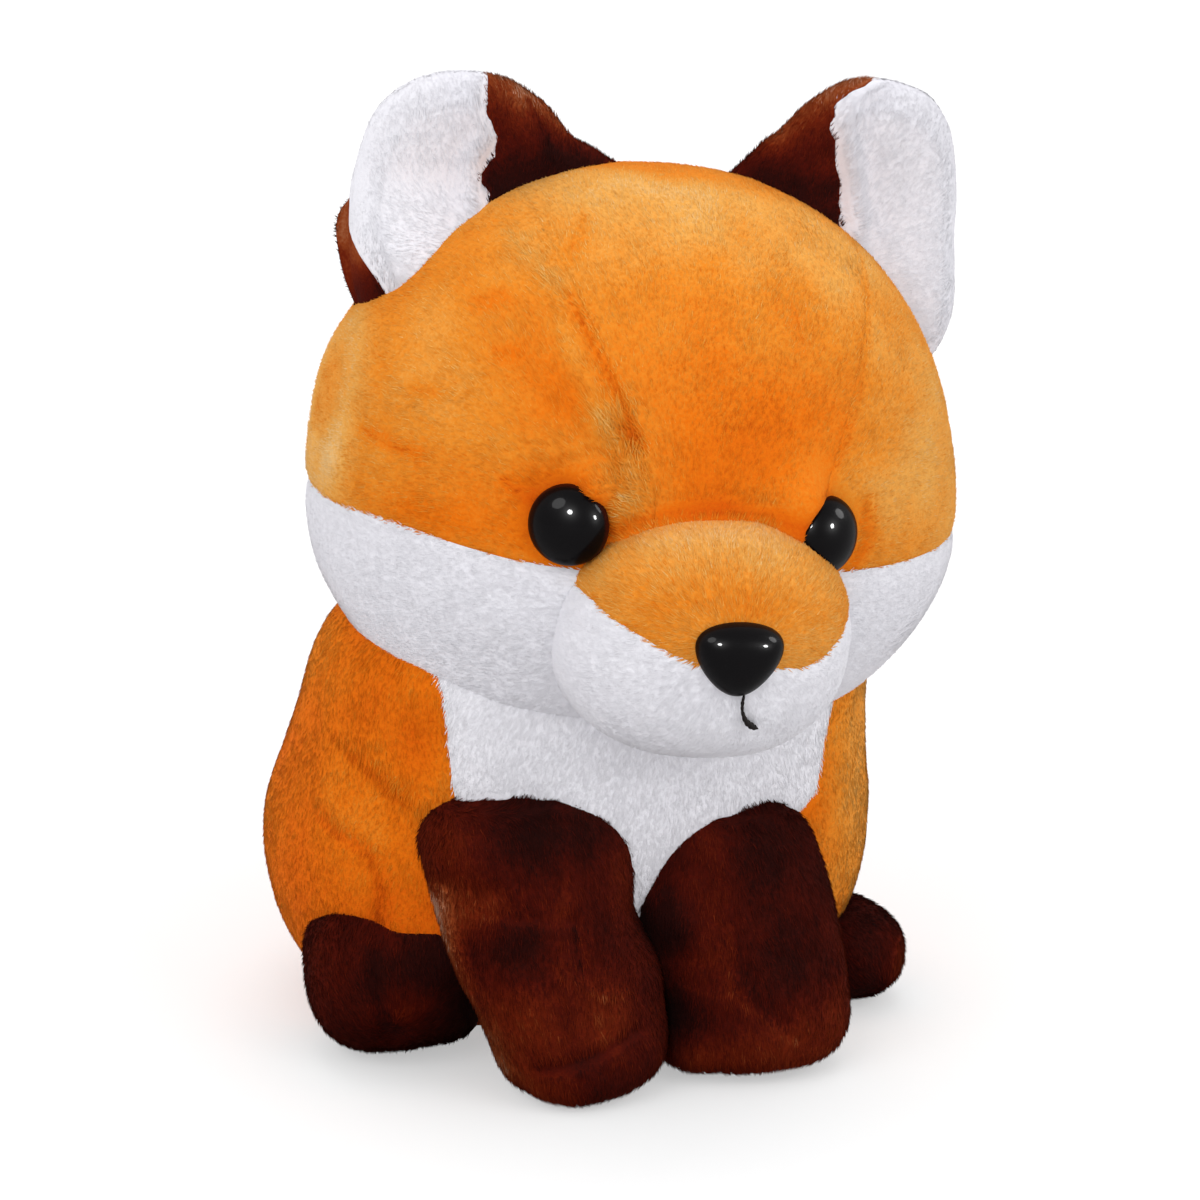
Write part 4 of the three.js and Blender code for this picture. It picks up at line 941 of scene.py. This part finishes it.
def makeEar(look, name):
    turn, rise, faces = closedGrid(*look["grid"])
    side, inset = look["side"], look["pileDepth"]
    edge = earOutline(look, turn if side < 0 else 1 - turn)
    tilt = np.pi * (rise - 0.5)
    spread = np.cos(tilt).clip(0) ** look["edge"]
    inside = np.sign(tilt) * (1 - spread) * np.linalg.norm(edge, axis=1)
    spread *= 1 - inset / look["halfWidth"]
    out, up = edge[:, 0] * spread, edge[:, 1] * spread
    dish = 1 - look["dish"] * np.maximum(1 - 2 * np.cos(tilt) ** 2, 0)
    swell = np.where(tilt > 0, -(look["frontSwell"] - inset) * dish, -(look["backSwell"] - inset))
    curl = look["curl"] * ((out + look["out"] - look["seamOut"]) / (look["halfWidth"] + look["setBack"])) ** 2
    behind = ease(-tilt, 0.05, 0.5) * ease(out, 0, 24)
    lower = ease(-up, 0, 26) * ease(out, 0, 12)
    up = up - 0.7 * look["low"] * lower
    bulge = smoothAt(look["bulgeUp"], look["bulge"], up)
    out = out + look["out"] + bulge * behind + look["low"] * lower
    pastSeam = out - look["seamOut"] + smoothAt(look["seamUp"], look["seamShift"], up)
    roll = look["roll"] * bell(pastSeam - 4, 3.5) - 0.8 * bell(pastSeam, 1.5)
    y = look["setBack"] + swell * np.sin(tilt) + curl - roll * ease(tilt, 0.1, 0.5)
    y = y - look["rootSwell"] * ease(-up, -12, 18) * np.sin(tilt).clip(0) ** 0.8
    points = np.stack([side * (out + look["shift"]) + look["aside"], y, up + look["up"] + side * look["lift"]], 1)
    white = pastSeam + 1.2 * noise(points, 7, 80)
    white = np.minimum(white, look["seamBack"] + 10 * ease(pastSeam, 6, 24) - points[:, 1])
    outer = ease(out - look["out"], 0, 12)
    edge, more = look["wrap"]
    wrap = (edge * ease(-up, -8, -3) + more * ease(-up, 5, 27)) * outer
    white = np.minimum(white, inside + 6 - wrap) + 1.3 * noise(points, 3, 81) * (1 - outer)
    rim = np.minimum(np.minimum(white + 3.5, pastSeam - 2), 0.1 - wrap)
    comb = points - [side * 30, 30, 40]
    whole = surfaceOf(points, faces, comb, look, white, lambda p: headDistance(p) + 9, rim, turn=headTurn)
    # The brown back: a painted highlight at the rim and lighter towards the top, painted shade near the head, paler
    # low at the outer edge, and random tone
    near = ease(-headDistance(headToFox(points)), -14, -1)
    brown = look["rimShade"] * ease(np.cos(tilt), 0.75, 1) + look["rootShade"] * near
    brown += 0.14 * ease(up, 14, 34) + 0.12 * bell(up + 8, 9) * outer
    brown += 0.1 * noise(points, 5, 82)
    # The white front is a little darker in its dish by the seam, as painted shade
    whole[0][:, 9] += np.where(white > 0, look["whiteShade"] - 0.2 * bell(pastSeam - 7, 7), brown)
    whole[0][:, 10] -= 1.2 * ease(np.cos(tilt), 0.8, 1) * ease(pastSeam, -4, 4)
    whole = partOf(whole, 1)
    hidden, moving = [lambda p: headDistance(p) + 3], f"{name}_ear"
    front, back = partOf(whole, 0), partOf(whole, 0, -1)
    makePanel(f"ear_front_{name}", front, "white_plush", 300 + side, hidden, [f"ear_filling_{name}"], body=moving)
    makePanel(f"ear_back_{name}", back, "brown_plush", 310 + side, hidden, (), look["backPile"], moving)


# Tail: round sections along a curve that leaves the back and turns up, with a white end
tail = dict(
    root=(66, 32), bend=(114, 32), end=(102, 104), radius=28, pileDepth=1.2,
    lengths=[0, 0.12, 0.35, 0.6, 0.8, 0.93, 1], radii=[0.62, 0.7, 0.92, 1, 0.84, 0.5, 0.06], tipStart=0.62,
    shade=0.58, seed=17, lumps=[(22, 0.6, 0.06), (9, 0.3, 0.06), (5, 0.1, 0.03)],
    pile=dict(length=5, lift=10, density=1.7, width=0.5, backShare=1), grid=(96, 70),
)


def makeTail():
    fine = np.linspace(0, 1, 400)[:, None]
    root, bend, end = (np.array(tail[name], float) for name in ("root", "bend", "end"))
    curve = root * (1 - fine) ** 2 + bend * 2 * fine * (1 - fine) + end * fine**2
    length = np.concatenate([[0], np.cumsum(np.linalg.norm(np.diff(curve, axis=0), axis=1))])
    around, rows = tail["grid"]
    share = np.linspace(0, 1, rows + 1)
    at = share * length[-1]
    centres = np.stack([0 * at, np.interp(at, length, curve[:, 0]), np.interp(at, length, curve[:, 1])], 1)
    spread = (tail["radius"] - tail["pileDepth"]) * smoothAt(tail["lengths"], tail["radii"], share)
    spread[[0, -1]] = 0
    turn, rise, faces = closedGrid(around, rows)
    points = tubePoints(turn, rise, centres, spread, (1, 0, 0))
    tangent = unit(np.gradient(centres, axis=0))
    comb = tangent[np.rint(rise * rows).astype(int)]
    seam = int(tail["tipStart"] * rows)
    past = (points - centres[seam]) @ tangent[seam] + 1.2 * noise(points, 6, 90)
    whole = partOf(surfaceOf(points, faces, comb, tail, past, lambda p: bodyDistance(p) + 8), 1)
    hidden = [lambda p: bodyDistance(p) + 3]
    makePanel("tail_skin", partOf(whole, 0, -1), "orange_plush", 400, hidden, ["tail_filling"], tail["pile"], "tail")
    makePanel("tail_tip", partOf(whole, 0), "white_plush", 401, hidden, (), tail["pile"], "tail")


# Camera, lights and floor
studio = dict(
    # Each place is an azimuth and elevation in degrees and a distance in mm
    camera=(-20, 15, 1150), lens=120.6, target=(9, -3, 118),
    world=0.79, floor=1.05, floorTone=0.7, floorGlow=0.45, floorReach=6000,
    # Suns have their place, spread and strength
    suns=dict(key=(-55, 34, 1500, 40, 0.74), fill=(35, 32, 1500, 40, 0.62), top=(160, 75, 1500, 40, 0.5)),
    # Lamps that only gloss shows have their place, size in metres and power
    sparks=dict(left_spark=(-31, 32, 1600, 0.3, 70), right_spark=(38, 18, 1600, 0.26, 52),
                left_panel=(-70, 48, 1600, 0.8, 16), right_panel=(76, 30, 1600, 0.6, 16)),
)


# Puts a lamp or camera at its place round the target, looking at it
def placeFacing(name, data, azimuth, elevation, distance):
    thing = bpy.data.objects.new(name, data)
    bpy.context.scene.collection.objects.link(thing)
    a, e = math.radians(azimuth), math.radians(elevation)
    back = Vector((math.sin(a) * math.cos(e), -math.cos(a) * math.cos(e), math.sin(e)))
    thing.location = (Vector(studio["target"]) + back * distance) * mm
    thing.rotation_euler = back.to_track_quat("Z", "Y").to_euler()
    return thing


# 1 for what the camera sees, straight or in or through something glossy
def seenShare(tree):
    path = addNode(tree, "LightPath")
    first, second = (addNode(tree, "Math", operation="MAXIMUM") for _ in range(2))
    join(path, "Is Camera Ray", first, 0)
    join(path, "Is Glossy Ray", first, 1)
    join(first, 0, second, 0)
    join(path, "Is Transmission Ray", second, 1)
    return second


def mixShaders(share, first, second, output):
    mix = addNode(share.id_data, "MixShader")
    for place, node in enumerate([share, first, second]):
        join(node, 0, mix, place)
    join(mix, 0, output, "Surface")


def makeStudio():
    camera, scene = bpy.data.cameras.new("camera"), bpy.context.scene
    camera.lens, camera.sensor_width = studio["lens"], 36
    scene.camera = placeFacing("camera", camera, *studio["camera"])
    scene.view_settings.view_transform = "Standard"
    for name, (*place, spread, strength) in studio["suns"].items():
        lamp = bpy.data.lights.new(name, "SUN")
        lamp.energy, lamp.angle = strength, math.radians(spread)
        placeFacing(name, lamp, *place).visible_glossy = False
    for name, (*place, size, power) in studio["sparks"].items():
        lamp = bpy.data.lights.new(name, "AREA")
        lamp.shape, lamp.size, lamp.energy = "DISK", size, power
        placeFacing(name, lamp, *place).visible_diffuse = False
    scene.world = bpy.data.worlds.new("studio")
    scene.world.use_nodes = True
    tree = scene.world.node_tree
    plain = setInputs(tree.nodes["Background"], {"Color": (1, 1, 1, 1), "Strength": studio["world"]})
    white = addNode(tree, "Background", {"Color": (1, 1, 1, 1), "Strength": 1})
    mixShaders(seenShare(tree), plain, white, tree.nodes["World Output"])
    # Floor, white to the camera where no shadow falls on it
    material, tree, shader = newMaterial("floor", 1, 0)
    tone, seen = studio["floorTone"], studio["floor"]
    mix = addNode(tree, "Mix", {"A": (tone, tone, tone, 1), "B": (seen, seen, seen, 1)}, data_type="RGBA")
    share = seenShare(tree)
    join(share, 0, mix, "Factor")
    join(mix, "Result", shader, "Base Color")
    some = addNode(tree, "Math", {1: studio["floorGlow"]}, operation="MULTIPLY")
    join(share, 0, some, 0)
    mixShaders(some, shader, addNode(tree, "Emission"), tree.nodes["Material Output"])
    square = studio["floorReach"] * np.array([(-1, -1, 0), (1, -1, 0), (1, 1, 0), (-1, 1, 0)])
    putMesh("floor", square, np.array([[0, 1, 2], [0, 2, 3]]), material)


makeStudio()
print("studio made")
makeHead()
makeMuzzle()
print("head and muzzle made, pile faces", sum(pileFaces))
makeEyes()
makeNose()
makeMouth()
print("face made")
makeBody()
makeLeg(rightLeg, "right")
makeLeg(leftLeg, "left")
makeFoot(rightFoot, "right")
makeFoot(leftFoot, "left")
print("body and limbs made, pile faces", sum(pileFaces))
makeEar(rightEar, "right")
makeEar(leftEar, "left")
makeTail()
print("ears and tail made, pile faces", sum(pileFaces))
